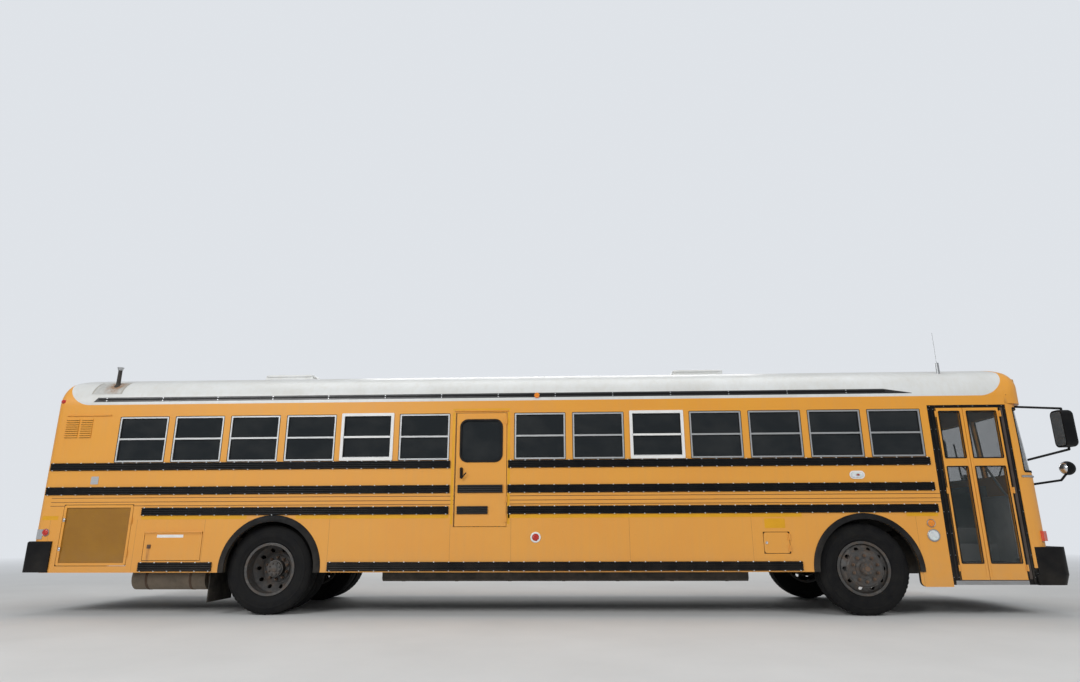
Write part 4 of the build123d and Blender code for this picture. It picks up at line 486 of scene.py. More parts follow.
# Shapes
class Shape:
    """A mesh that grows by simple forms, each with its own material."""

    def __init__(self, *slots):
        self.mesh = bmesh.new()
        self.slots = list(slots)
        self.current = 0

    def use(self, slot):
        if slot not in self.slots:
            self.slots.append(slot)
        self.current = self.slots.index(slot)
        return self

    def faces(self, points, rows):
        verts = [self.mesh.verts.new(p) for p in points]
        made = []
        for row in rows:
            face = self.mesh.faces.new([verts[i] for i in row])
            face.material_index = self.current
            made.append(face)
        return made

    def box(self, low, high, bevel=0.0):
        lo = [min(a, b) for a, b in zip(low, high)]
        hi = [max(a, b) for a, b in zip(low, high)]
        points = [(x, y, z) for x in (lo[0], hi[0]) for y in (lo[1], hi[1]) for z in (lo[2], hi[2])]
        rows = [(0, 1, 3, 2), (4, 6, 7, 5), (0, 4, 5, 1), (2, 3, 7, 6), (0, 2, 6, 4), (1, 5, 7, 3)]
        made = self.faces(points, rows)
        if bevel:
            edges = list({edge for face in made for edge in face.edges})
            done = bmesh.ops.bevel(self.mesh, geom=edges, offset=bevel, segments=2, profile=0.7,
                                   affect="EDGES")
            for face in done["faces"]:
                face.material_index = self.current
        return self

    def lathe(self, centre, axis, rows, sides=24, closed=False):
        """Rows are (distance along the axis, radius); a radius of 0 closes the end in a point."""
        axis = Vector(axis).normalized()
        turn = axis.to_track_quat("Z", "Y").to_matrix()
        angles = [2 * math.pi * i / sides for i in range(sides)]
        spokes = [turn @ Vector((math.cos(a), math.sin(a), 0)) for a in angles]
        rings = []
        for along, radius in rows:
            middle = Vector(centre) + axis * along
            places = [middle + radius * spoke for spoke in spokes] if radius else [middle]
            rings.append([self.mesh.verts.new(place) for place in places])
        pairs = list(zip(rings, rings[1:])) + ([(rings[-1], rings[0])] if closed else [])
        for near, far in pairs:
            for i in range(sides):
                j = (i + 1) % sides
                corners = (near[i % len(near)], near[j % len(near)], far[j % len(far)], far[i % len(far)])
                corners = list(dict.fromkeys(corners))
                if len(corners) > 2:
                    self.mesh.faces.new(corners).material_index = self.current
        return self

    def rod(self, start, end, radius, sides=10):
        axis = Vector(end) - Vector(start)
        rows = [(0, 0), (0, radius), (axis.length, radius), (axis.length, 0)]
        return self.lathe(start, axis, rows, sides)

    def prism(self, outline, shift):
        """A flat outline of 3-D points, pushed along a vector."""
        count = len(outline)
        points = [Vector(p) for p in outline] + [Vector(p) + Vector(shift) for p in outline]
        rows = [tuple(range(count))[::-1], tuple(range(count, 2 * count))]
        rows += [(i, (i + 1) % count, count + (i + 1) % count, count + i) for i in range(count)]
        self.faces(points, rows)
        return self

    def piece(self, name, body, smooth=35.0):
        bmesh.ops.remove_doubles(self.mesh, verts=self.mesh.verts, dist=1e-6)
        bmesh.ops.recalc_face_normals(self.mesh, faces=self.mesh.faces)
        data = bpy.data.meshes.new(name)
        self.mesh.to_mesh(data)
        self.mesh.free()
        for slot in self.slots:
            data.materials.append(MATERIALS[slot])
        data.polygons.foreach_set("use_smooth", [True] * len(data.polygons))
        data.set_sharp_from_angle(angle=math.radians(smooth))
        made = bpy.data.objects.new(name, data)
        bpy.context.scene.collection.objects.link(made)
        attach(made, body)
        return made


def rounded(low, high, radius, steps=5):
    """Corner points of a rounded rectangle between two (x, z) corners."""
    points = []
    for cx, cz, first in ((high[0] - radius, high[1] - radius, 0), (low[0] + radius, high[1] - radius, 90),
                          (low[0] + radius, low[1] + radius, 180), (high[0] - radius, low[1] + radius, 270)):
        for i in range(steps + 1):
            angle = math.radians(first + 90 * i / steps)
            points.append((cx + radius * math.cos(angle), cz + radius * math.sin(angle)))
    return points


def on_side(side, points, out=0.0):
    """(x, z) points laid on a side's skin."""
    return [(x, side * (HALF_WIDTH + out), z) for x, z in points]


def plate(shape, side, low, high, thick, radius=0.0, out=0.0):
    """A flat plate on a side's skin, between two (station, height) corners."""
    (x0, z0), (x1, z1) = (at(low[0]), low[1]), (at(high[0]), high[1])
    outline = rounded((x0, z0), (x1, z1), radius) if radius else [(x0, z0), (x1, z0), (x1, z1), (x0, z1)]
    shape.prism(on_side(side, outline, out), (0, side * thick, 0))


def frame_between(shape, outer, inner, lift):
    """A raised frame between two outlines of 3-D points, with walls along a vector and no back."""
    count = len(outer)
    points = [Vector(p) for p in outer + inner]
    points += [p + Vector(lift) for p in points]
    rows = []
    for i in range(count):
        j = (i + 1) % count
        rows.append((2 * count + i, 2 * count + j, 3 * count + j, 3 * count + i))
        rows.append((i, j, 2 * count + j, 2 * count + i))
        rows.append((count + j, count + i, 3 * count + i, 3 * count + j))
    shape.faces(points, rows)


def ring(shape, side, low, high, width, thick, radius, out=0.0):
    """A raised rounded frame on a side's skin, its outer corners given."""
    outer = rounded((at(low[0]), low[1]), (at(high[0]), high[1]), radius)
    inner = rounded((at(low[0]) + width, low[1] + width), (at(high[0]) - width, high[1] - width),
                    max(radius - width, 0.003))
    frame_between(shape, on_side(side, outer, out), on_side(side, inner, out), (0, side * thick, 0))


# Small repeated forms
def dome(shape, centre, out, radius, height, sides=8):
    """A low rivet head or button that stands on a surface."""
    shape.lathe(centre, out, [(0, radius), (0.7 * height, 0.75 * radius), (height, 0)], sides)


def nut(shape, centre, out, radius, height):
    rows = ((0, 1), (1, 1), (1, 0.62), (1.5, 0.55), (1.5, 0))
    shape.lathe(centre, out, [(along * height, share * radius) for along, share in rows], 6)


def spaced(low, high, pitch):
    count = max(1, round((high - low) / pitch))
    return [low + (high - low) * i / count for i in range(count + 1)]


# Windows, doors and lids of the side, in stations and heights, as on the solids.
RUN_STARTS = [-2.0465 + SECTION * i for i in range(6)] + [2.9325 + SECTION * i for i in range(7)]
WINDOW_W = 0.622
WINDOW_Z = (1.780, 2.345)
MEETING_Z = 2.066
EXITS = (4, 8)
RAIL_ROWS = [(-2.838, 2.152, 1.680, 1.772), (2.858, 7.858, 1.680, 1.772), (-2.843, 2.153, 1.385, 1.480),
             (2.851, 7.866, 1.385, 1.480), (-1.600, 2.147, 1.138, 1.230), (2.853, 7.870, 1.138, 1.230),
             (-1.550, -0.662, 0.495, 0.597), (0.730, 6.255, 0.495, 0.597)]
RAIL_WEB_OUT = 0.012

# Rivet rows: (first station, last station, height, pitch). Seams are stations with a row from sill to eave.
RIVET_ROWS = [(-2.74, 7.85, 2.445, 0.089), (-2.74, 2.16, 1.788, 0.178), (-2.74, 7.85, 1.655, 0.089),
              (-2.74, 7.85, 1.357, 0.178), (-1.58, 7.85, 1.060, 0.178), (0.72, 6.25, 0.625, 0.089)]
SEAMS = [-2.742, -2.705, 0.75, 2.165, 2.882, 4.30, 5.72]
RIVET_R, RIVET_RISE = 0.0052, 0.002
HOLE_GAP, POST_GAP = 0.012, 0.004


def rivet(shape, place, out, radius=RIVET_R, rise=RIVET_RISE):
    dome(shape, place, out, radius, rise, 6)


def side_rivet(shape, side, station, height, radius=RIVET_R, rise=RIVET_RISE):
    rivet(shape, (at(station), side * HALF_WIDTH, height), (0, side, 0), radius, rise)


def clear_of_holes(side, station, height, pad):
    holes = [SCREEN, EMERGENCY] + ([BATTERY, FUEL, ENTRY] if side == RIGHT else [DRIVER_WINDOW]) + RAIL_ROWS
    holes += [(start, start + WINDOW_W, *WINDOW_Z) for start in RUN_STARTS]
    for low, high, bottom, top in holes:
        if low - pad < station < high + pad and bottom - pad < height < top + pad:
            return False
    return all(math.hypot(station - x, height - z) > r + 0.01 for x, z, r in ARCHES) and height > 0.5


def side_rivets(side):
    """Rows along the skin, rows up the seams and rows up the posts between the windows."""
    shape = Shape("body_yellow")
    spots = [(station, height, HOLE_GAP) for low, high, height, pitch in RIVET_ROWS
             for station in spaced(low, high, pitch)]
    spots += [(station, height, HOLE_GAP) for station in SEAMS for height in spaced(0.52, 2.42, 0.045)]
    spots += [(start + beside, height, POST_GAP) for start in RUN_STARTS
              for beside in (-0.026, WINDOW_W + 0.026) for height in spaced(1.80, 2.33, 0.088)]
    for station, height, pad in spots:
        if clear_of_holes(side, station, height, pad):
            side_rivet(shape, side, station, height)
    return shape


def rail_rivets(side):
    """Screw heads along the upper and lower lip of each rub rail, in a pale paint that is a painted highlight
    for their glints.
    """
    shape = Shape("bright_screw")
    y = side * (HALF_WIDTH + RAIL_WEB_OUT)
    for low, high, bottom, top in RAIL_ROWS:
        for station in spaced(low + 0.03, high - 0.03, 0.178):
            for height in (bottom + 0.003, top - 0.003):
                dome(shape, (at(station), y, height), (0, side, 0), 0.0085, 0.008)
    return shape


# Yellow reflective tape: (low station, high station, bottom, top).
TAPE = [(-2.833, -2.634, 1.090, 1.137), (-1.600, -0.300, 1.092, 1.134), (0.30, 2.150, 1.092, 1.134),
        (2.858, 6.30, 1.092, 1.134), (7.50, 7.86, 1.092, 1.134), (2.168, 2.196, 1.02, 2.36),
        (2.851, 2.879, 1.02, 2.36), (2.168, 2.879, 2.384, 2.406)]
TAPE_OUT = 0.0008


def tape(side):
    shape = Shape("tape_yellow")
    for low, high, bottom, top in TAPE:
        plate(shape, side, (low, bottom), (high, top), TAPE_OUT)
    return shape


# Bezels of the side lamps: (material, station, height, inner radius, outer radius).
BEZELS = [("white_plate", 3.188, 0.870, 0.042, 0.061), ("aluminium", -2.760, 0.944, 0.039, 0.045),
          ("aluminium", 7.765, 1.014, 0.041, 0.047), ("aluminium", 7.774, 0.877, 0.060, 0.070)]


def side_fittings(side):
    """Bezels round the side lamps, blank plates and small reflectors that sit on a wall."""
    shape = Shape("aluminium")
    for slot, station, height, inner, outer in BEZELS:
        shape.use(slot).lathe((at(station), side * HALF_WIDTH, height), (0, side, 0),
                              [(0, outer), (0.008, outer), (0.012, 0.5 * (inner + outer)), (0.010, inner),
                               (0, inner)], 32, True)
    plate(shape, side, (-2.866, 0.866), (-2.796, 0.981), 0.004, 0.004)
    plate(shape, side, (-2.304, 1.513), (-2.209, 1.608), 0.003, 0.008)
    ring(shape.use("white_plate"), side, (6.905, 1.522), (7.080, 1.616), 0.014, 0.007, 0.046)
    plate(shape.use("black_rubber"), side, (6.962, 1.549), (7.023, 1.589), 0.010, 0.012)
    plate(shape.use("lens_red"), side, (6.980, 1.556), (7.018, 1.582), 0.014, 0.008)
    if side == RIGHT:
        plate(shape.use("white_plate"), side, (-1.372, 0.880), (-1.049, 0.936), 0.0012, 0.004)
    plate(shape.use("tape_yellow"), side, (5.862, 0.966), (6.099, 1.074), TAPE_OUT, 0.004)
    return shape


def ring_about(shape, side, low, high, grow, *sizes):
    """A raised frame whose outer corners lie a distance outside two given ones."""
    ring(shape, side, (low[0] - grow, low[1] - grow), (high[0] + grow, high[1] + grow), *sizes)


def window_gaskets(side):
    """Black rubber round each pane and a dark channel behind each sliding sash."""
    shape = Shape("black_rubber")
    for index, start in enumerate(RUN_STARTS):
        end = start + WINDOW_W
        for bottom, top in ((WINDOW_Z[0], MEETING_Z + 0.010), (MEETING_Z - 0.010, WINDOW_Z[1])):
            ring_about(shape, side, (start, bottom), (end, top), -0.020, 0.009, 0.004, 0.010, -0.014)
        if index not in EXITS:
            ring_about(shape, side, (start, WINDOW_Z[0]), (end, WINDOW_Z[1]), 0.004, 0.006, 0.003, 0.012)
    return shape


def exit_frames(side):
    """White push-out sashes over the two exit windows, with their lift rail."""
    shape = Shape("white_plate")
    for start in (RUN_STARTS[index] for index in EXITS):
        low, high = start - 0.016, start + WINDOW_W + 0.016
        ring(shape, side, (low, 1.778), (high, 2.361), 0.036, 0.0135, 0.010)
        plate(shape, side, (low + 0.03, MEETING_Z - 0.012), (high - 0.03, MEETING_Z + 0.012), 0.0135)
        plate(shape, side, (start + 0.03, 1.795), (start + WINDOW_W - 0.03, 1.822), 0.010)
    return shape


def emergency_details(side):
    """Gasket, lever handle with its boss, and the door's folded edge."""
    shape = Shape("black_rubber")
    low, high, bottom, top = EMERGENCY_WINDOW
    ring_about(shape, side, (low, bottom), (high, top), 0.006, 0.022, 0.007, 0.095)
    plate(shape.use("black_paint"), side, (2.272, 1.560), (2.308, 1.682), 0.004, 0.008)
    x, y = at(2.290), side * (HALF_WIDTH + 0.004)
    grip = y + side * 0.030
    shape.lathe((x, y, 1.672), (0, side, 0), [(0, 0.018), (0.030, 0.014), (0.034, 0.0)], 16)
    shape.rod((x, y + side * 0.026, 1.672), (x + 0.006, grip, 1.548), 0.0085)
    shape.rod((x + 0.006, grip, 1.552), (x + 0.062, grip, 1.622), 0.0075)
    plate(shape.use("black_rubber"), side, (2.214, 0.998), (2.220, 2.345), 0.002)
    return shape


def lid_details():
    """Latches and a riveted piano hinge on the right-hand lids: name, body and shape of each."""
    y = RIGHT * HALF_WIDTH
    battery, screen, fuel = Shape("rusty_iron"), Shape("chrome"), Shape("chrome")
    battery.box((at(-1.475), y, 0.755), (at(-1.433), y - 0.010, 0.800), 0.002)
    battery.rod((at(-1.454), y - 0.008, 0.778), (at(-1.454), y - 0.020, 0.778), 0.012, 12)
    for station in spaced(-1.50, -0.84, 0.05):
        rivet(battery.use("body_yellow"), (at(station), y - 0.005, 0.926), (0, -1, 0), 0.0045)
    for height in (1.091, 0.751):
        screen.box((at(-2.567), y, height - 0.022), (at(-2.543), y - 0.009, height + 0.022), 0.002)
        screen.rod((at(-2.555), y - 0.006, height), (at(-2.555), y - 0.018, height), 0.008, 10)
    button = [(0, 0.016), (0.006, 0.015), (0.008, 0.006), (0.004, 0.0)]
    fuel.lathe((at(5.870), y, 0.802), (0, -1, 0), button, 16)
    return (("battery_latch", "battery_door", battery), ("screen_latches", "screen_door_right", screen),
            ("fuel_latch", "fuel_door", fuel))


# Louvers of the upper rear panel: their columns in stations, the lowest and highest foot and their number.
LOUVER_COLUMNS = ((-2.743, -2.575), (-2.550, -2.400))
LOUVER_LOW, LOUVER_HIGH, LOUVERS = 2.093, 2.338, 9


def louver_shades(side):
    """Painted shade: thin dark amber strips under the hooded louvers of the upper rear panel, where their
    lips cast shade.
    """
    shape = Shape("dark_slit")
    for low, high in LOUVER_COLUMNS:
        for foot in spaced(LOUVER_LOW, LOUVER_HIGH, (LOUVER_HIGH - LOUVER_LOW) / LOUVERS)[:-1]:
            plate(shape, side, (low + 0.004, foot - 0.0045), (high - 0.004, foot), 0.0095)
    return shape


def fit_outside():
    """The added forms of each side's skin and door, then those of the right-hand lids."""
    forms = {"rivets": side_rivets, "rail_rivets": rail_rivets, "tape": tape, "side_fittings": side_fittings,
             "window_gaskets": window_gaskets, "exit_frames": exit_frames, "louver_shades": louver_shades}
    for side, word in SIDES:
        for name, form in forms.items():
            form(side).piece(f"{name}_{word}", "bus_body")
        emergency_details(side).piece(f"emergency_details_{word}", f"emergency_door_{word}")
    for name, body, shape in lid_details():
        shape.piece(name, body)


fit_outside()

# Wheels: tyre outlines are (distance outwards from the tyre's middle, radius), in metres.
WHEEL_SETS = [("front", WHEELBASE, (1.020,), "tyre_front_{}", "wheel_front_{}"),
              ("rear", 0.0, (1.010, 0.680), "tyres_rear_{}", "wheels_rear_{}")]
SIDEWALL = [(0.104, 0.288), (0.106, 0.302), (0.118, 0.318), (0.121, 0.322), (0.121, 0.330), (0.127, 0.345),
            (0.134, 0.366), (0.137, 0.372), (0.137, 0.378), (0.1395, 0.394), (0.1395, 0.410), (0.1380, 0.426),
            (0.1395, 0.430), (0.1385, 0.440), (0.135, 0.444), (0.132, 0.460), (0.128, 0.475), (0.122, 0.492),
            (0.112, 0.505)]
TREAD_GROOVES = (0.058, 0.012, -0.034, -0.080)
GROOVE_W, GROOVE_DEEP = 0.022, 0.011

# Corners of one cut across a shoulder: (radius, along the tread, share of the slope).
SHOULDER_CUT = ((0.487, -0.016, 1.3), (0.487, 0.016, 1.3), (0.503, 0.014, -0.3), (0.503, -0.014, -0.3))
CUTS = 60
STUD_CIRCLE_R = 0.1429


def crown(offset):
    return TYRE_R - 0.006 * (offset / 0.112) ** 2


def tyre_outline():
    """One sidewall with raised bands, the grooved tread and the same sidewall mirrored."""
    tread = []
    for low in TREAD_GROOVES:
        groove = ((GROOVE_W, 0.0), (GROOVE_W - 0.003, GROOVE_DEEP), (0.003, GROOVE_DEEP), (0.0, 0.0))
        tread += [(low + across, crown(low + across) - drop) for across, drop in groove]
    return SIDEWALL + tread + [(-offset, radius) for offset, radius in reversed(SIDEWALL)]


def tyre(shape, station, y, side):
    shape.lathe((at(station), side * y, AXLE_Z), (0, side, 0), tyre_outline(), 96, True)
    for i in range(CUTS):
        angle = 2 * math.pi * i / CUTS
        out = Vector((math.cos(angle), 0, math.sin(angle)))
        along = Vector((-out.z, 0, out.x))
        for end in (1, -1):
            centre = Vector((at(station), side * (y + end * 0.119), AXLE_Z))
            corners = [centre + out * r + along * t + Vector((0, side * end * 0.006 * k, 0))
                       for r, t, k in SHOULDER_CUT]
            shape.prism(corners, out * 0.0035)


def tyre_sets():
    for word, station, rows, node, body in WHEEL_SETS:
        for side, name in SIDES:
            shape = Shape("tyre")
            for y in rows:
                tyre(shape, station, y, side)
            made = shape.piece(f"tread_{word}_{name}", body.format(name), 28.0)
            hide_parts(node.format(name))


class Hub:
    """Turned and bolted forms of one wheel, at distances from the middle plane of the bus."""

    def __init__(self, station, side):
        self.shape, self.x, self.side = Shape("rusty_iron"), at(station), side

    def turned(self, slot, y, rows, sides, closed=False):
        self.shape.use(slot).lathe((self.x, self.side * y, AXLE_Z), (0, self.side, 0), rows, sides, closed)

    def circle(self, count, radius, phase=0.5):
        angles = [2 * math.pi * (i + phase) / count for i in range(count)]
        return [(self.x + radius * math.cos(a), AXLE_Z + radius * math.sin(a)) for a in angles]

    def nuts(self, slot, y, places, radius, height):
        for x, z in places:
            nut(self.shape.use(slot), (x, self.side * y, z), (0, self.side, 0), radius, height)

    def studs(self, y, places, reach):
        """Wheel nuts and the ends of the studs that stand out of them."""
        self.nuts("rusty_iron", y, places, 0.0185, 0.022)
        for x, z in places:
            self.shape.rod((x, self.side * (y + 0.020), z), (x, self.side * (y + reach), z), 0.0085, 8)

    def rim_lip(self, y):
        """Bright scuffed edge of the wheel's flange."""
        rows = [(-0.010, 0.3025), (0.0, 0.303), (0.0015, 0.298), (0.0, 0.290), (-0.006, 0.2885)]
        self.turned("wheel_steel", y + 0.116, rows, 72)


def front_hub(side):
    """Ten nuts with their washers, a stepped hub, its cap screws and a centre plug."""
    hub, face, cap = Hub(WHEELBASE, side), 1.175, 1.237
    places = hub.circle(10, STUD_CIRCLE_R)
    for x, z in places:
        washer = [(0, 0.024), (0.003, 0.023), (0.003, 0)]
        hub.shape.use("wheel_steel").lathe((x, side * face, z), (0, side, 0), washer, 16)
    hub.studs(face, places, 0.042)
    hub.turned("wheel_steel", face, [(0, 0.112), (0.006, 0.110), (0.010, 0.094), (0.012, 0.075)], 40)
    collar = [(0, 0.0625), (0.002, 0.070), (0.010, 0.070), (0.013, 0.0625)]
    hub.turned("wheel_steel", face + 0.030, collar, 40)
    hub.nuts("rusty_iron", cap, hub.circle(6, 0.050, 0.0), 0.0075, 0.005)
    hub.turned("rusty_iron", cap, [(0, 0.030), (0.004, 0.029), (0.006, 0.018), (0.003, 0.0)], 24)
    hub.rim_lip(1.020)
    return hub.shape


def rear_hub(side):
    """Ten nuts on the flange deep in the dish, and the axle shaft's end with eight large bolts."""
    hub, cap = Hub(0.0, side), 0.985
    hub.studs(0.885, hub.circle(10, 0.128), 0.045)
    hub.turned("wheel_steel", 0.960, [(0, 0.100), (0.006, 0.099), (0.008, 0.090), (0.008, 0.082)], 40)
    hub.nuts("wheel_steel", cap, hub.circle(8, 0.064), 0.0125, 0.010)
    hub.turned("wheel_steel", cap, [(0, 0.040), (0.006, 0.038), (0.010, 0.024), (0.004, 0.0)], 24)
    hub.rim_lip(1.010)
    return hub.shape


def hubs():
    for side, name in SIDES:
        front_hub(side).piece(f"front_hub_{name}", f"wheel_front_{name}", 40.0)
        rear_hub(side).piece(f"rear_hub_{name}", f"wheels_rear_{name}", 40.0)


# Entry door: leaves are (name, hinged edge, meeting edge, direction from the first to the second).
LEAVES = (("rear", 8.006, 8.327, 1), ("front", 8.758, 8.333, -1))
LEAF_PANES = ((0.573, 1.657), (1.760, 2.312))


def entry_details():
    for word, hinged, meeting, turn in LEAVES:
        shape = Shape("black_rubber")
        low, high = sorted((hinged, meeting))
        for bottom, top in LEAF_PANES:
            ring(shape, RIGHT, (low + 0.034, bottom - 0.008), (high - 0.034, top + 0.008),
                 0.013, 0.003, 0.016)
        plate(shape, RIGHT, (hinged, 0.392), (hinged + turn * 0.010, 2.352), 0.002)
        shape.use("body_yellow")
        plate(shape, RIGHT, (meeting - turn * 0.030, 0.42), (meeting - turn * 0.026, 2.32), 0.002)
        for height in spaced(0.42, 2.32, 0.19):
            side_rivet(shape, RIGHT, meeting - turn * 0.014, height, 0.004, 0.0018)
        shape.piece(f"entry_trim_{word}", f"entry_leaf_{word}")
    shape = Shape("aluminium")
    plate(shape, RIGHT, (7.945, 0.3395), (8.748, 0.3845), 0.010, 0.004)
    for height in (0.350, 0.360, 0.370):
        plate(shape, RIGHT, (7.950, height), (8.744, height + 0.003), 0.012)
    plate(shape.use("brown_seal"), RIGHT, (8.766, 0.40), (8.797, 2.352), 0.004)
    plate(shape.use("black_rubber"), RIGHT, (8.803, 0.345), (8.820, 2.37), 0.008)
    plate(shape, RIGHT, (7.960, 0.40), (7.974, 2.352), 0.005)
    spots = [(station, height) for station in (7.930, 7.986, 8.828) for height in spaced(0.42, 2.34, 0.24)]
    for station, height in spots + [(station, 2.376) for station in spaced(7.95, 8.80, 0.17)]:
        side_rivet(shape.use("aluminium"), RIGHT, station, height, 0.0045)
    shape.piece("entry_surround_trim", "bus_body")


# Steps and the front of the cabin.
STEP_EDGE_Y = -1.174
STEP_RISE = 0.207
TREAD_DEPTH = 0.250
HANDRAIL_Y = -1.12


def step_details():
    shape = Shape("aluminium")
    rear, front = at(7.970), at(8.775)
    for i in range(3):
        y, z = STEP_EDGE_Y + TREAD_DEPTH * i, ENTRY[2] + STEP_RISE * i + 0.020
        shape.use("aluminium").box((rear, y, z), (front, y + 0.028, z + 0.003))
        shape.box((rear, y - 0.003, z - 0.020), (front, y, z + 0.003))
        shape.use("floor_rubber").box((rear, y + 0.029, z), (front, y + 0.240, z + 0.003))
    shape.use("aluminium")
    for x in (at(7.985), at(8.745)):
        foot, bend = (x, HANDRAIL_Y, 0.62), (x, HANDRAIL_Y, 1.30)
        shape.rod(foot, bend, 0.014, 12)
        shape.rod(bend, (x, HANDRAIL_Y + 0.42, 1.78), 0.014, 12)
        shape.rod(foot, (x, HANDRAIL_Y + 0.05, 0.60), 0.014, 12)
    shape.use("white_plate")
    shape.rod((at(8.02), -0.99, 0.98), (at(8.02), -0.99, 1.62), 0.015, 12)
    shape.rod((at(8.02), -0.99, 1.62), (at(8.12), -0.99, 1.66), 0.015, 12)
    shape.use("steel_panel")
    shape.box((at(8.805), -1.130, 0.450), (at(8.985), -0.400, 1.300), 0.012)
    shape.box((at(8.800), -1.134, 1.300), (at(8.990), -0.396, 1.330), 0.006)
    for height in spaced(0.50, 1.26, 0.11):
        for y in (-1.115, -0.42):
            rivet(shape.use("aluminium"), (at(8.805), y, height), (-1, 0, 0), 0.005, 0.0025)
    shape.piece("step_trim", "bus_body")


# Front: headings round the bowed face, from straight ahead (0) to the sides (90 degrees).
BOW_HEADING = 9.79
NOSE_BOW = (3.200, 0.0, 6.000)
NOSE_CORNER = (8.8762, 0.979, 0.240)
FINE_HEADINGS = (1, 3, 5, 7, 9.7, 12, 20, 30, 45, 60, 75, 90)


def facing(heading):
    return Vector((math.cos(math.radians(heading)), math.sin(math.radians(heading)), 0))


def nose_point(heading, out, z):
    """Point on the face, a distance outside it; above the belt the face leans back."""
    turn = 1 if heading >= 0 else -1
    x, y, radius = NOSE_BOW if abs(heading) < BOW_HEADING else NOSE_CORNER
    shift = 0.062 * max(0.0, z - 1.541) / 0.864
    return Vector((at(x) - shift, turn * y, z)) + (radius + out) * facing(heading)


def band(shape, start, end, section, height):
    """A moulding that follows the bowed face; the section is (out, up) points."""
    start, end = sorted((start, end))
    fine = sorted(turn * heading for heading in FINE_HEADINGS for turn in (-1, 1))
    headings = [start] + [heading for heading in fine if start < heading < end] + [end]
    points, count = [], len(section)
    for heading in headings:
        points += [nose_point(heading, out, height + up) for out, up in section]
    rows = [(i * count + j, (i + 1) * count + j, (i + 1) * count + j + 1, i * count + j + 1)
            for i in range(len(headings) - 1) for j in range(count - 1)]
    rows += [tuple(range(count)), tuple(range(len(points) - count, len(points)))[::-1]]
    shape.faces(points, rows)


HALF_ROUND = ((0.0, -0.013), (0.007, -0.012), (0.012, -0.006), (0.013, 0.0), (0.012, 0.006), (0.007, 0.012),
              (0.0, 0.013))
FLAT_TRIM = ((0.0, -0.012), (0.004, -0.012), (0.006, 0.0), (0.004, 0.012), (0.0, 0.012))
MARKER_Y = (-0.16, 0.0, 0.16)


def front_details():
    shape = Shape("aluminium")
    band(shape, -88.0, 88.0, HALF_ROUND, 1.541)
    shape.use("black_rubber")
    for side in (RIGHT, LEFT):
        band(shape, side * 0.30, side * 60.0, FLAT_TRIM, 2.352)
        band(shape, side * 0.30, side * 75.0, FLAT_TRIM, 1.598)
        for foot, head in ((0.26, 0.26), (75.6, 60.9)):
            shape.rod(nose_point(side * foot, 0.0, 1.600), nose_point(side * head, 0.0, 2.350), 0.008, 8)
    bezel = [(-0.004, 0.104), (0.012, 0.102), (0.022, 0.096), (0.022, 0.088), (0.004, 0.085), (-0.004, 0.085)]
    for y in (-0.905, -0.700, 0.700, 0.905):
        heading = math.degrees(math.asin(y / NOSE_BOW[2]))
        shape.use("chrome").lathe(nose_point(heading, 0.0, 0.875), facing(heading), bezel, 40, True)
    for side in (RIGHT, LEFT):
        for height in (0.60, 1.20):
            for heading in (0.8, 2.4, 4.0, 5.6, 7.2, 8.8):
                rivet(shape.use("body_yellow"), nose_point(side * heading, 0.0, height), (1, 0, 0))
        corner, out = nose_point(side * 48.0, -0.02, 0.866), facing(side * 48.0)
        across = Vector((-out.y, out.x, 0))
        block = [corner + across * a + Vector((0, 0, c))
                 for a, c in ((-0.055, -0.055), (0.055, -0.055), (0.055, 0.055), (-0.055, 0.055))]
        shape.use("lens_amber_red").prism(block, out * 0.045)
        shape.use("lens_amber").lathe((at(8.985), side * 1.135, 2.524), (0.72, side * 0.69, 0.1),
                                      [(-0.02, 0.034), (0.020, 0.032), (0.032, 0.020), (0.036, 0.0)], 20)
    for y in MARKER_Y:
        shape.lathe((at(9.150), y, 2.780), (1, 0, 0.3),
                    [(-0.06, 0.03), (0.015, 0.028), (0.026, 0.018), (0.030, 0.0)], 20)
    shape.piece("front_details", "bus_body")


# Lamps: those of the boards by their distance from the middle, those of the rear as (Y, Z, radius, colour).
WARNING_Z = 2.620
WARNING_R = 0.090
WARNING_LAMPS = (("amber", 0.640), ("red", 0.915))
REAR_LAMPS = [(y, WARNING_Z, WARNING_R, colour) for colour, y in WARNING_LAMPS]
REAR_LAMPS += [(0.980, 1.640, 0.090, "red"), (0.700, 1.640, 0.090, "red"), (1.060, 1.180, 0.050, "red"),
               (1.060, 1.400, 0.060, "amber"), (1.060, 1.040, 0.050, "clear")]
SIDE_LAMPS = [(-2.760, 0.944, 0.039, "red"), (3.188, 0.870, 0.040, "red"), (7.765, 1.014, 0.041, "amber")]


def on_board(side, y):
    """Place and direction of a lamp on the front cap's boards."""
    return (board_x(y), side * y, WARNING_Z), (1.0, side * BOARD_LEAN, 0)


def board_x(y):
    share = (abs(y) - BOARD_INNER) / (BOARD_OUTER - BOARD_INNER)
    return at(BOARD_FACE) - BOARD_BACK * min(max(share, 0.0), 1.07)


def cap_shell():
    """The front cap with both lamp boards swept back."""
    shape = Shape("two_tone")
    shape.mesh.from_mesh(frame["nodes"]["front_cap"].data)
    for vert in shape.mesh.verts:
        x, y, z = vert.co
        if x > at(BOARD_FACE) - 0.001 and 0.49 < abs(y) < 1.07 and 2.50 < z < 2.74:
            vert.co.x = board_x(y)
    made = shape.piece("front_cap_shell", "bus_body", 30.0)
    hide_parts("front_cap")


def lens_dome(shape, centre, out, radius, height=0.022):
    """A lens with a rounded rim, a slightly crowned face and a moulded ring."""
    profile = ((0.0, 1.0), (0.45, 1.0), (0.80, 0.95), (0.93, 0.88), (0.90, 0.80), (0.97, 0.76), (1.0, 0.40),
               (1.02, 0.0))
    shape.lathe(centre, out, [(along * height, share * radius) for along, share in profile], 40)


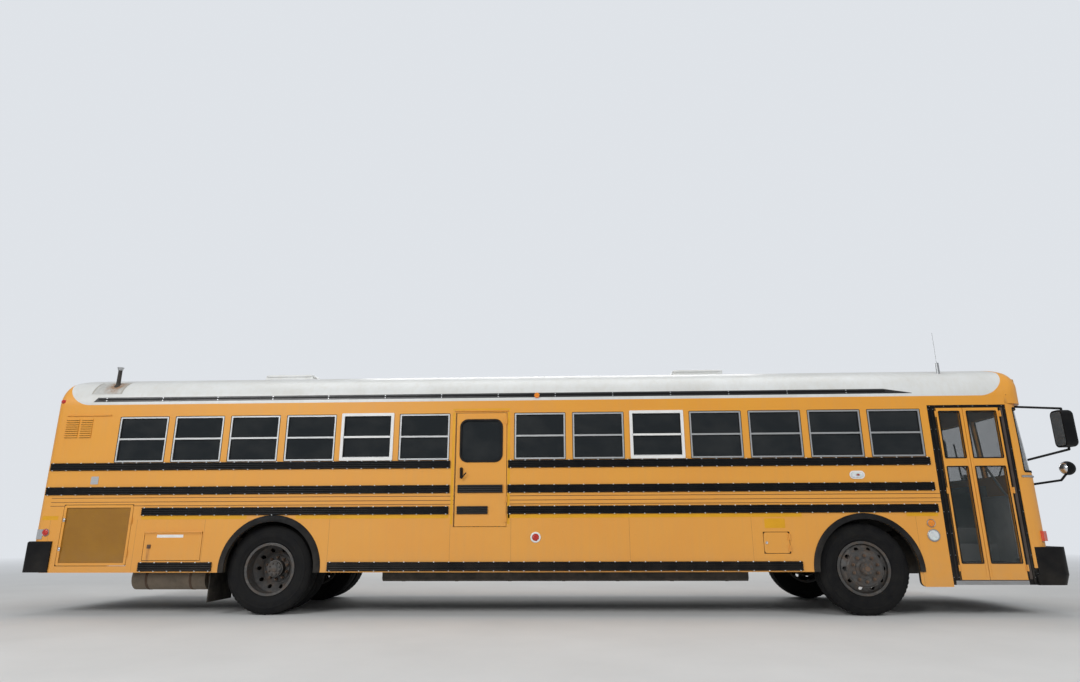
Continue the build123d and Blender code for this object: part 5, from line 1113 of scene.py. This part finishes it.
def lamp_sets():
    lenses = {"amber": Shape("lens_amber"), "red": Shape("lens_red")}
    for side in (RIGHT, LEFT):
        for colour, y in WARNING_LAMPS:
            lens_dome(lenses[colour], *on_board(side, y), WARNING_R)
        for y, z, radius, colour in REAR_LAMPS:
            if colour in lenses:
                lens_dome(lenses[colour], (REAR_X, side * y, z), (-1, 0, 0), radius)
        for station, z, radius, colour in SIDE_LAMPS:
            lens_dome(lenses[colour], (at(station), side * HALF_WIDTH, z), (0, side, 0), radius, 0.014)
        eave_lamp = (at(3.208), side * (HALF_WIDTH - 0.010), 2.563)
        lens_dome(lenses["amber"], eave_lamp, (0, side, 0.1), 0.034, 0.034)
    amber_piece = lenses["amber"].piece("amber_lenses", "bus_body")
    red_piece = lenses["red"].piece("red_lenses", "bus_body")
    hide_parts("lamps_amber")
    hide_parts("lamps_red")


def board_rims():
    """Black hoods round the warning lamps."""
    shape = Shape("black_paint")
    hood = [(-0.004, 0.103), (0.016, 0.101), (0.016, 0.094), (-0.004, 0.092)]
    for side in (RIGHT, LEFT):
        for _, y in WARNING_LAMPS:
            shape.lathe(*on_board(side, y), hood, 40, True)
    shape.piece("warning_lamp_rims", "bus_body")


def mirror_glass():
    shape = Shape("mirror_glass")
    for side in (RIGHT, LEFT):
        outline = rounded((1.306, 1.872), (1.474, 2.264), 0.045)
        shape.prism([(at(9.2895), side * y, z) for y, z in outline], (-0.002, 0, 0))
        shape.lathe((at(9.5175), side * 1.080, 1.640), (-1, 0, 0),
                    [(0.046, 0.0695), (0.060, 0.0570), (0.072, 0.0405), (0.080, 0.0200), (0.0828, 0.0)], 32)
    shape.piece("mirror_glass", "bus_body", 60.0)


# Roof: where the corner's arc ends, as a distance up from the eave and as an angle.
ROOF_ARC_LENGTH = 0.4329
ROOF_ARC_END = 70.86
HATCHES = (-0.312, 5.380)
STRIP_JOINTS = (-2.28, -1.55, -0.84, -0.13, 0.58, 1.30, 2.01, 2.72, 3.43, 4.14, 4.85, 5.56, 6.27, 6.98)


def roof_point(side, run, out=0.0):
    """Point and outward direction on the roof's arch, a distance up from the eave."""
    if run < ROOF_ARC_LENGTH:
        angle = run / ROOF_CORNER_R
        centre, radius = (HALF_WIDTH - ROOF_CORNER_R, EAVE_Z), ROOF_CORNER_R
    else:
        angle = math.radians(ROOF_ARC_END) + (run - ROOF_ARC_LENGTH) / ROOF_TOP_R
        centre, radius = (0.0, 0.0), ROOF_TOP_R
    y, z = math.cos(angle), math.sin(angle)
    return (side * (centre[0] + (radius + out) * y), centre[1] + (radius + out) * z), (0, side * y, z)


def roof_rivet(shape, side, station, run, radius, rise=RIVET_RISE, lift=0.0):
    (y, z), out = roof_point(side, run, lift)
    rivet(shape, (at(station), y, z), out, radius, rise)


def roof_strip(shape, side, station, length, section):
    """A moulding along the roof; the section is (distance up from the eave, out) points."""
    points = [roof_point(side, run, out)[0] for run, out in section]
    shape.prism([(at(station), y, z) for y, z in points], (length, 0, 0))


def roof_details():
    """Rivets of the bows and eaves, the black strip with its joints, and the patch with the vent stack."""
    shape = Shape("roof_white")
    for station in (-2.40 + SECTION * i for i in range(16)):
        for side in (RIGHT, LEFT):
            for run in spaced(0.14, 1.40, 0.09):
                y = roof_point(side, run)[0][0]
                if all(abs(station - hatch) > 0.36 or abs(y) > 0.36 for hatch in HATCHES):
                    roof_rivet(shape, side, station, run, 0.0055, 0.0022)
    for side in (RIGHT, LEFT):
        for station in spaced(-2.70, 8.75, 0.1185):
            roof_rivet(shape, side, station, 0.018, 0.005)
    strip = ((0.060, 0.0), (0.060, 0.006), (0.068, 0.008), (0.076, 0.006), (0.076, 0.0))
    for side in (RIGHT, LEFT):
        roof_strip(shape.use("black_paint"), side, -2.38, 9.83, strip)
        for station in STRIP_JOINTS:
            roof_strip(shape.use("aluminium"), side, station, 0.012,
                       ((0.046, 0.0), (0.046, 0.004), (0.090, 0.004), (0.090, 0.0)))
    runs = [0.150 + 0.0225 * i for i in range(13)]
    points = []
    for run in runs:
        y, z = roof_point(RIGHT, run, 0.0022)[0]
        points += [(at(PATCH[0]), y, z), (at(PATCH[1]), y, z)]
    shape.use("patched_metal")
    shape.faces(points, [(2 * i, 2 * i + 1, 2 * i + 3, 2 * i + 2) for i in range(len(runs) - 1)])
    low, high, bottom, top = PATCH[0] + 0.012, PATCH[1] - 0.012, runs[0] + 0.012, runs[-1] - 0.012
    spots = [(station, run) for run in (bottom, top) for station in spaced(low, high, 0.045)]
    spots += [(station, run) for station in (low, high) for run in spaced(bottom, top, 0.045)]
    for station, run in spots:
        roof_rivet(shape.use("aluminium"), RIGHT, station, run, 0.0045, lift=0.002)
    stack = [(0, 0.045), (0.03, 0.040), (0.045, 0.026), (0.245, 0.0235), (0.245, 0.0)]
    shape.use("chassis_black").lathe((at(STACK[0]), STACK[1], 2.745), (0, 0, 1), stack, 24)
    shape.piece("roof_details", "bus_body")


# Rear: the licence plate's face and the middle of its bolts.
PLATE_X = at(-2.975)
BOLTS_Y, BOLTS_Z, BOLTS_RISE = 0.0889, 0.6625, 0.0603


def rear_details():
    shape = Shape("black_rubber")
    outer = [(REAR_X, y, z) for y, z in rounded((-0.712, 1.788), (0.712, 2.312), 0.03)]
    inner = [(REAR_X, y, z) for y, z in rounded((-0.686, 1.814), (0.686, 2.286), 0.02)]
    frame_between(shape, outer, inner, (-0.006, 0, 0))
    for side in (RIGHT, LEFT):
        for y, z, radius, _ in REAR_LAMPS:
            shape.use("chrome" if radius < WARNING_R else "black_paint")
            rim = ((0, 0.014), (0.008, 0.012), (0.012, 0.004), (0.006, 0), (0, 0))
            rows = [(along, radius + out) for along, out in rim]
            shape.lathe((REAR_X, side * y, z), (-1, 0, 0), rows, 36, True)
        spots = [(1.000, z) for z in spaced(0.90, 2.40, 0.06)]
        spots += [(y, z) for y in spaced(0.05, 0.95, 0.09) for z in (2.400, 1.720)]
        for y, z in spots:
            rivet(shape.use("body_yellow"), (REAR_X, side * y, z), (-1, 0, 0))
        shape.use("lens_red").lathe((at(-2.835), side * 1.205, 2.551), (-0.55, side * 0.83, 0.05),
                                    [(-0.03, 0.030), (0.006, 0.029), (0.026, 0.018), (0.034, 0.0)], 20)
    for y in MARKER_Y:
        shape.lathe((at(-2.900), y, 2.800), (-1, 0, 0.35),
                    [(-0.08, 0.03), (0.012, 0.028), (0.024, 0.018), (0.028, 0.0)], 20)
    outline = rounded((-0.1525, 0.5865), (0.1525, 0.7385), 0.010)
    shape.use("white_plate").prism([(PLATE_X, y, z) for y, z in outline], (-0.0015, 0, 0))
    for y in (-BOLTS_Y, BOLTS_Y):
        for z in (BOLTS_Z - BOLTS_RISE, BOLTS_Z + BOLTS_RISE):
            dome(shape.use("chrome"), (PLATE_X - 0.0015, y, z), (-1, 0, 0), 0.007, 0.004)
    shape.piece("rear_details", "bus_body")
    shape = Shape("black_paint")
    shape.box((REAR_X, -0.070, 0.872), (REAR_X - 0.006, 0.070, 0.890), 0.002)
    shape.use("chrome").lathe((REAR_X, 0.0, 0.881), (-1, 0, 0),
                              [(0, 0.020), (0.010, 0.018), (0.012, 0.006), (0.006, 0.0)], 20)
    for y in spaced(-0.84, 0.84, 0.12):
        rivet(shape.use("body_yellow"), (REAR_X, y, 1.430), (-1, 0, 0))
    shape.piece("engine_door_latch", "engine_door")


# Stop arm and driver's side: the middle of the eight-sided sign and the face of its border.
SIGN_X, SIGN_Z = at(7.330), 1.582
SIGN_FACE_Y = HALF_WIDTH + 0.0352


def left_details():
    corners = [facing(22.5 + 45 * i) for i in range(8)]
    points = [(SIGN_X + r * corner.x, SIGN_FACE_Y, SIGN_Z + r * corner.y)
              for r in (0.222, 0.205) for corner in corners]
    shape = Shape("white_plate")
    shape.faces(points, [(i, (i + 1) % 8, 8 + (i + 1) % 8, 8 + i) for i in range(8)])
    shape.piece("stop_arm_border", "stop_arm")
    shape = Shape("black_rubber")
    low, high, bottom, top = DRIVER_WINDOW
    ring_about(shape, LEFT, (low, bottom), (high, top), 0.004, 0.008, 0.004, 0.012)
    shape.piece("driver_window_gasket", "bus_body")


# Underside: the muffler's axis and the tank shields, with their section as (Y, Z) points.
MUFFLER_AXIS = (-0.800, 0.400)
SHIELD_ENDS = (1.340, 5.680)
SHIELD_THICK = 0.005
SHIELD_SECTION = [(0.400, 0.604), (0.620, 0.604), (0.660, 0.372), (0.985, 0.372), (1.015, 0.402),
                  (1.015, 0.640)]


def muffler_straps():
    """Two straps and the flanges of the pipes, in dark rusty steel."""
    shape = Shape("rusty_iron")
    for station in (-1.60, -1.05):
        shape.lathe((at(station) - 0.016, *MUFFLER_AXIS), (1, 0, 0),
                    [(0, 0.139), (0, 0.1425), (0.032, 0.1425), (0.032, 0.139)], 40)
    for station, along in ((-1.783, -1), (-0.867, 1)):
        shape.lathe((at(station), *MUFFLER_AXIS), (along, 0, 0),
                    [(0, 0.060), (0.004, 0.060), (0.05, 0.045), (0.05, 0.0)], 24)
    shape.piece("muffler_straps", "bus_body")


def tank_shields():
    """Folded sheets between the axles on both sides, with end walls and hanger straps."""
    shape = Shape("chassis_black")
    low, high = SHIELD_ENDS
    for side in (RIGHT, LEFT):
        for (y0, z0), (y1, z1) in zip(SHIELD_SECTION, SHIELD_SECTION[1:]):
            run = Vector((y1 - y0, z1 - z0)).normalized() * SHIELD_THICK
            corners = [(y0, z0), (y1, z1), (y1 + run.y, z1 - run.x), (y0 + run.y, z0 - run.x)]
            shape.prism([(at(low), side * y, z) for y, z in corners], (high - low, 0, 0))
        for station in (low, high - SHIELD_THICK):
            shape.prism([(at(station), side * y, z) for y, z in SHIELD_SECTION[1:]], (SHIELD_THICK, 0, 0))
        for station in spaced(low + 0.25, high - 0.25, 0.64):
            for (y0, z0), (y1, z1) in (((0.665, 0.364), (0.985, 0.372)), ((1.015, 0.405), (1.023, 0.640))):
                shape.box((at(station) - 0.020, side * y0, z0), (at(station) + 0.020, side * y1, z1), 0.002)
    shape.piece("tank_shields", "bus_body")


# Seats: outlines are (station, height) from each row's own start; the covers are blown up by a cloth run.
SEAT_SIDES = (0.190, 1.160)
SEAT_FIRST, SEAT_ROWS = -1.300, 12
BARRIER = 7.230
BACK = ((0.0, 1.240), (0.090, 1.240), (0.030, 2.010), (-0.060, 2.010))
CUSHION = ((0.0903, 1.240), (0.400, 1.240), (0.400, 1.400), (0.0903, 1.400))
DRIVER_SIDES = (0.330, 0.830)
DRIVER = ((7.990, 1.330), (8.420, 1.330), (8.420, 1.450), (8.100, 1.430), (8.010, 2.050), (7.900, 2.050))
INSET = 0.012
SWELL = 0.014
COVER_EDGE_R = 0.036
VOXEL = 0.024
CLOTH_PRESSURE = 4.0
CLOTH_FRAMES = 20
PIPING_R = 0.0045


def moved_in(outline, distance):
    """The outline with each edge moved inwards; corners run anticlockwise."""
    lines = []
    for (x0, z0), (x1, z1) in zip(outline, outline[1:] + outline[:1]):
        along = Vector((x1 - x0, z1 - z0)).normalized()
        lines.append((Vector((x0, z0)) + Vector((-along.y, along.x)) * distance, along))
    corners = []
    for (p, d), (q, e) in zip(lines[-1:] + lines[:-1], lines):
        share = ((q - p).x * e.y - (q - p).y * e.x) / (d.x * e.y - d.y * e.x)
        corners.append(p + d * share)
    return corners


def softened(outline, radius, steps=5):
    """The outline with each corner replaced by a curve that starts a radius away from it."""
    points = []
    for i, corner in enumerate(outline):
        before = corner + (outline[i - 1] - corner).normalized() * radius
        after = corner + (outline[(i + 1) % len(outline)] - corner).normalized() * radius
        for step in range(steps + 1):
            share = step / steps
            points.append(before.lerp(corner, share).lerp(corner.lerp(after, share), share))
    return points


def cover(name, outline, sides):
    """Points and faces of one padded cover; its base stays flat on the seat's frame."""
    section = softened(moved_in(outline, INSET), COVER_EDGE_R)
    block = bmesh.new()
    near = [block.verts.new((x, sides[0] + INSET, z)) for x, z in section]
    far = [block.verts.new((x, sides[1] - INSET, z)) for x, z in section]
    block.faces.new(near)
    block.faces.new(far[::-1])
    for i in range(len(section)):
        j = (i + 1) % len(section)
        block.faces.new((near[j], near[i], far[i], far[j]))
    rims = [edge for edge in block.edges if abs(edge.verts[0].co.y - edge.verts[1].co.y) < 1e-6]
    bmesh.ops.bevel(block, geom=rims, offset=0.6 * COVER_EDGE_R, segments=3, profile=0.5, affect="EDGES")
    bmesh.ops.recalc_face_normals(block, faces=block.faces)
    data = bpy.data.meshes.new(name)
    block.to_mesh(data)
    block.free()
    pad = bpy.data.objects.new(name, data)
    bpy.context.scene.collection.objects.link(pad)
    remesh = pad.modifiers.new("remesh", "REMESH")
    remesh.mode, remesh.voxel_size = "VOXEL", VOXEL
    pad.data = bpy.data.meshes.new_from_object(pad.evaluated_get(bpy.context.evaluated_depsgraph_get()))
    pad.modifiers.clear()
    start = [vert.co.copy() for vert in pad.data.vertices]
    cloth = pad.modifiers.new("cloth", "CLOTH")
    cloth.settings.use_pressure = True
    cloth.settings.uniform_pressure_force = CLOTH_PRESSURE
    cloth.settings.effector_weights.gravity = 0.0
    cloth.point_cache.frame_start, cloth.point_cache.frame_end = 1, CLOTH_FRAMES
    for frame_number in range(1, CLOTH_FRAMES + 1):
        bpy.context.scene.frame_set(frame_number)
    swollen = pad.evaluated_get(bpy.context.evaluated_depsgraph_get()).data
    end = [vert.co.copy() for vert in swollen.vertices]
    pad.modifiers.clear()
    bpy.context.scene.frame_set(1)
    base = min(z for _, z in outline)
    points = []
    for before, after in zip(start, end):
        shift = after - before
        if shift.length > SWELL:
            shift = shift.normalized() * SWELL
        place = before + shift
        place.z = max(place.z, base)
        points.append(place)
    faces = [tuple(face.vertices) for face in pad.data.polygons]
    bpy.data.objects.remove(pad)
    return points, faces


def piping(points, faces, outline, sides):
    """Closed lines of welt, with the outward direction at each point, on both rims of a cover."""
    surface = BVHTree.FromPolygons(points, faces)
    loops = []
    for y in sides:
        loop = []
        for x, z in softened([Vector(corner) for corner in outline], COVER_EDGE_R, 8):
            loop.append(surface.find_nearest(Vector((x, y, z)))[:2])
        thinned = [loop[0]] + [now for last, now in zip(loop, loop[1:]) if (now[0] - last[0]).length > 0.002]
        loops.append(thinned)
    return loops


def welt(shape, loop, shift, side):
    """A round tube along a closed line on a surface."""
    points = [Vector((p.x + shift, side * p.y, p.z)) for p, _ in loop]
    outs = [Vector((n.x, side * n.y, n.z)) for _, n in loop]
    count, rings = len(points), []
    for i in range(count):
        along = (points[(i + 1) % count] - points[i - 1]).normalized()
        out = (outs[i] - along * outs[i].dot(along)).normalized()
        across = along.cross(out)
        rings += [points[i] + PIPING_R * (math.cos(a) * out + math.sin(a) * across)
                  for a in (math.radians(60 * k) for k in range(6))]
    rows = [(i * 6 + k, i * 6 + (k + 1) % 6, (i + 1) % count * 6 + (k + 1) % 6, (i + 1) % count * 6 + k)
            for i in range(count) for k in range(6)]
    shape.faces(rings, rows)


def seat_covers():
    back, cushion = cover("seat_back", BACK, SEAT_SIDES), cover("seat_cushion", CUSHION, SEAT_SIDES)
    points, faces = cover("driver_seat", DRIVER, DRIVER_SIDES)
    driver_welts = piping(points, faces, DRIVER, DRIVER_SIDES)
    back_welts, cushion_welts = piping(*back, BACK, SEAT_SIDES), piping(*cushion, CUSHION, SEAT_SIDES)
    starts = [SEAT_FIRST + SECTION * i for i in range(SEAT_ROWS)]
    parts = ((*back, back_welts, starts + [BARRIER]), (*cushion, cushion_welts, starts))
    for side, word in SIDES:
        shape = Shape("vinyl_seat")
        for pad_points, pad_faces, loops, rows in parts:
            for start in rows:
                shape.faces([(p.x + at(start), side * p.y, p.z) for p in pad_points], pad_faces)
                for loop in loops:
                    welt(shape, loop, at(start), side)
        made = shape.piece(f"seat_covers_{word}", "bus_body", 60.0)
        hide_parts("passenger_seats")
    shape = Shape("vinyl_seat")
    shape.faces([(p.x + at(0.0), p.y, p.z) for p in points], faces)
    for loop in driver_welts:
        welt(shape, loop, at(0.0), LEFT)
    made = shape.piece("driver_seat_cover", "bus_body", 60.0)
    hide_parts("driver_seat")


seat_covers()
tyre_sets()
hubs()
entry_details()
step_details()
front_details()
cap_shell()
lamp_sets()
board_rims()
mirror_glass()
roof_details()
rear_details()
left_details()
muffler_straps()
tank_shields()


# Camera at the photograph's viewing angle, worked out on a 1080 x 682 frame.
CAMERA_AT = (0.2741, -9.592, 0.968)
FOCAL_PIXELS = 685.0
IMAGE_WIDTH = 1080
YAW, PITCH, ROLL = (math.radians(a) for a in (-2.31, 15.32, -0.21))


def place_camera():
    forward = Vector((math.sin(YAW), math.cos(YAW), 0))
    side = Vector((math.cos(YAW), -math.sin(YAW), 0))
    up = Vector((0, 0, 1))
    look = forward * math.cos(PITCH) + up * math.sin(PITCH)
    lifted = up * math.cos(PITCH) - forward * math.sin(PITCH)
    across = side * math.cos(ROLL) + lifted * math.sin(ROLL)
    top = lifted * math.cos(ROLL) - side * math.sin(ROLL)
    lens_data = bpy.data.cameras.new("camera")
    lens_data.sensor_width = 36.0
    lens_data.lens = FOCAL_PIXELS / IMAGE_WIDTH * lens_data.sensor_width
    lens_data.clip_end = 500.0
    camera = bpy.data.objects.new("camera", lens_data)
    turned = Matrix((across, top, -look)).transposed().to_4x4()
    turned.translation = CAMERA_AT
    camera.matrix_world = turned
    bpy.context.scene.collection.objects.link(camera)
    bpy.context.scene.camera = camera


def soft_light(name, place, target, size, power, mirrored=True):
    data = bpy.data.lights.new(name, "AREA")
    data.shape = "RECTANGLE"
    data.size, data.size_y = size
    data.energy = power
    lamp = bpy.data.objects.new(name, data)
    lamp.visible_glossy = mirrored
    lamp.location = place
    lamp.rotation_euler = (Vector(target) - Vector(place)).to_track_quat("-Z", "Y").to_euler()
    bpy.context.scene.collection.objects.link(lamp)


BACKDROP = (0.74, 0.77, 0.81)
FLOOR_REACH = 120.0


def studio():
    floor = bpy.data.objects.new("studio_floor", bpy.data.meshes.new("studio_floor"))
    corners = [(x * FLOOR_REACH, y * FLOOR_REACH, 0) for x, y in ((-1, -1), (1, -1), (1, 1), (-1, 1))]
    floor.data.from_pydata(corners, [], [(0, 1, 2, 3)])
    bpy.context.scene.collection.objects.link(floor)
    concrete = Paint("studio_floor", 0.85)
    cloudy = concrete.patches(0.6, 6.0, 0.3, 0.7)
    concrete.set("Base Color", concrete.blend(cloudy, (0.58, 0.58, 0.57), (0.64, 0.64, 0.63)))
    concrete.bump(concrete.noise(30.0, 4.0), 0.001, 0.3)
    # Far from the object the floor takes the backdrop's colour for the camera, so no hard horizon shows.
    away = concrete.node("ShaderNodeVectorMath", i0=concrete.place)
    away.operation = "LENGTH"
    far = concrete.span(away.outputs["Value"], 9.0, 26.0)
    sight = concrete.node("ShaderNodeLightPath").outputs["Is Camera Ray"]
    glow = concrete.node("ShaderNodeEmission", Color=BACKDROP)
    mixed = concrete.node("ShaderNodeMixShader", i0=concrete.times(far, sight),
                          i1=concrete.shader.outputs[0], i2=glow.outputs[0])
    concrete.tree.links.new(mixed.outputs[0], concrete.tree.nodes["Material Output"].inputs["Surface"])
    floor.data.materials.append(concrete.mat)
    sky = bpy.data.worlds.new("studio")
    sky.use_nodes = True
    light = sky.node_tree.nodes["Background"]
    light.inputs["Color"].default_value = (0.86, 0.90, 0.95, 1.0)
    light.inputs["Strength"].default_value = 0.42
    seen = sky.node_tree.nodes.new("ShaderNodeBackground")
    seen.inputs["Color"].default_value = (*BACKDROP, 1.0)
    ray = sky.node_tree.nodes.new("ShaderNodeLightPath")
    pick = sky.node_tree.nodes.new("ShaderNodeMixShader")
    sky.node_tree.links.new(ray.outputs["Is Camera Ray"], pick.inputs[0])
    sky.node_tree.links.new(light.outputs[0], pick.inputs[1])
    sky.node_tree.links.new(seen.outputs[0], pick.inputs[2])
    sky.node_tree.links.new(pick.outputs[0], sky.node_tree.nodes["World Output"].inputs["Surface"])
    bpy.context.scene.world = sky
    soft_light("key", (-9.0, -14.0, 9.5), (0, 0, 1.4), (9.0, 6.0), 1320)
    soft_light("fill", (11.0, -12.5, 9.5), (1.0, 0, 1.2), (8.0, 5.0), 860, False)
    soft_light("overhead", (0, 0.5, 12.0), (0, 0, 0), (16.0, 6.0), 480)
    soft_light("back", (0, 14.0, 8.0), (0, 0, 1.2), (14.0, 6.0), 720)


bpy.context.scene.view_settings.view_transform = "Standard"
place_camera()
studio()
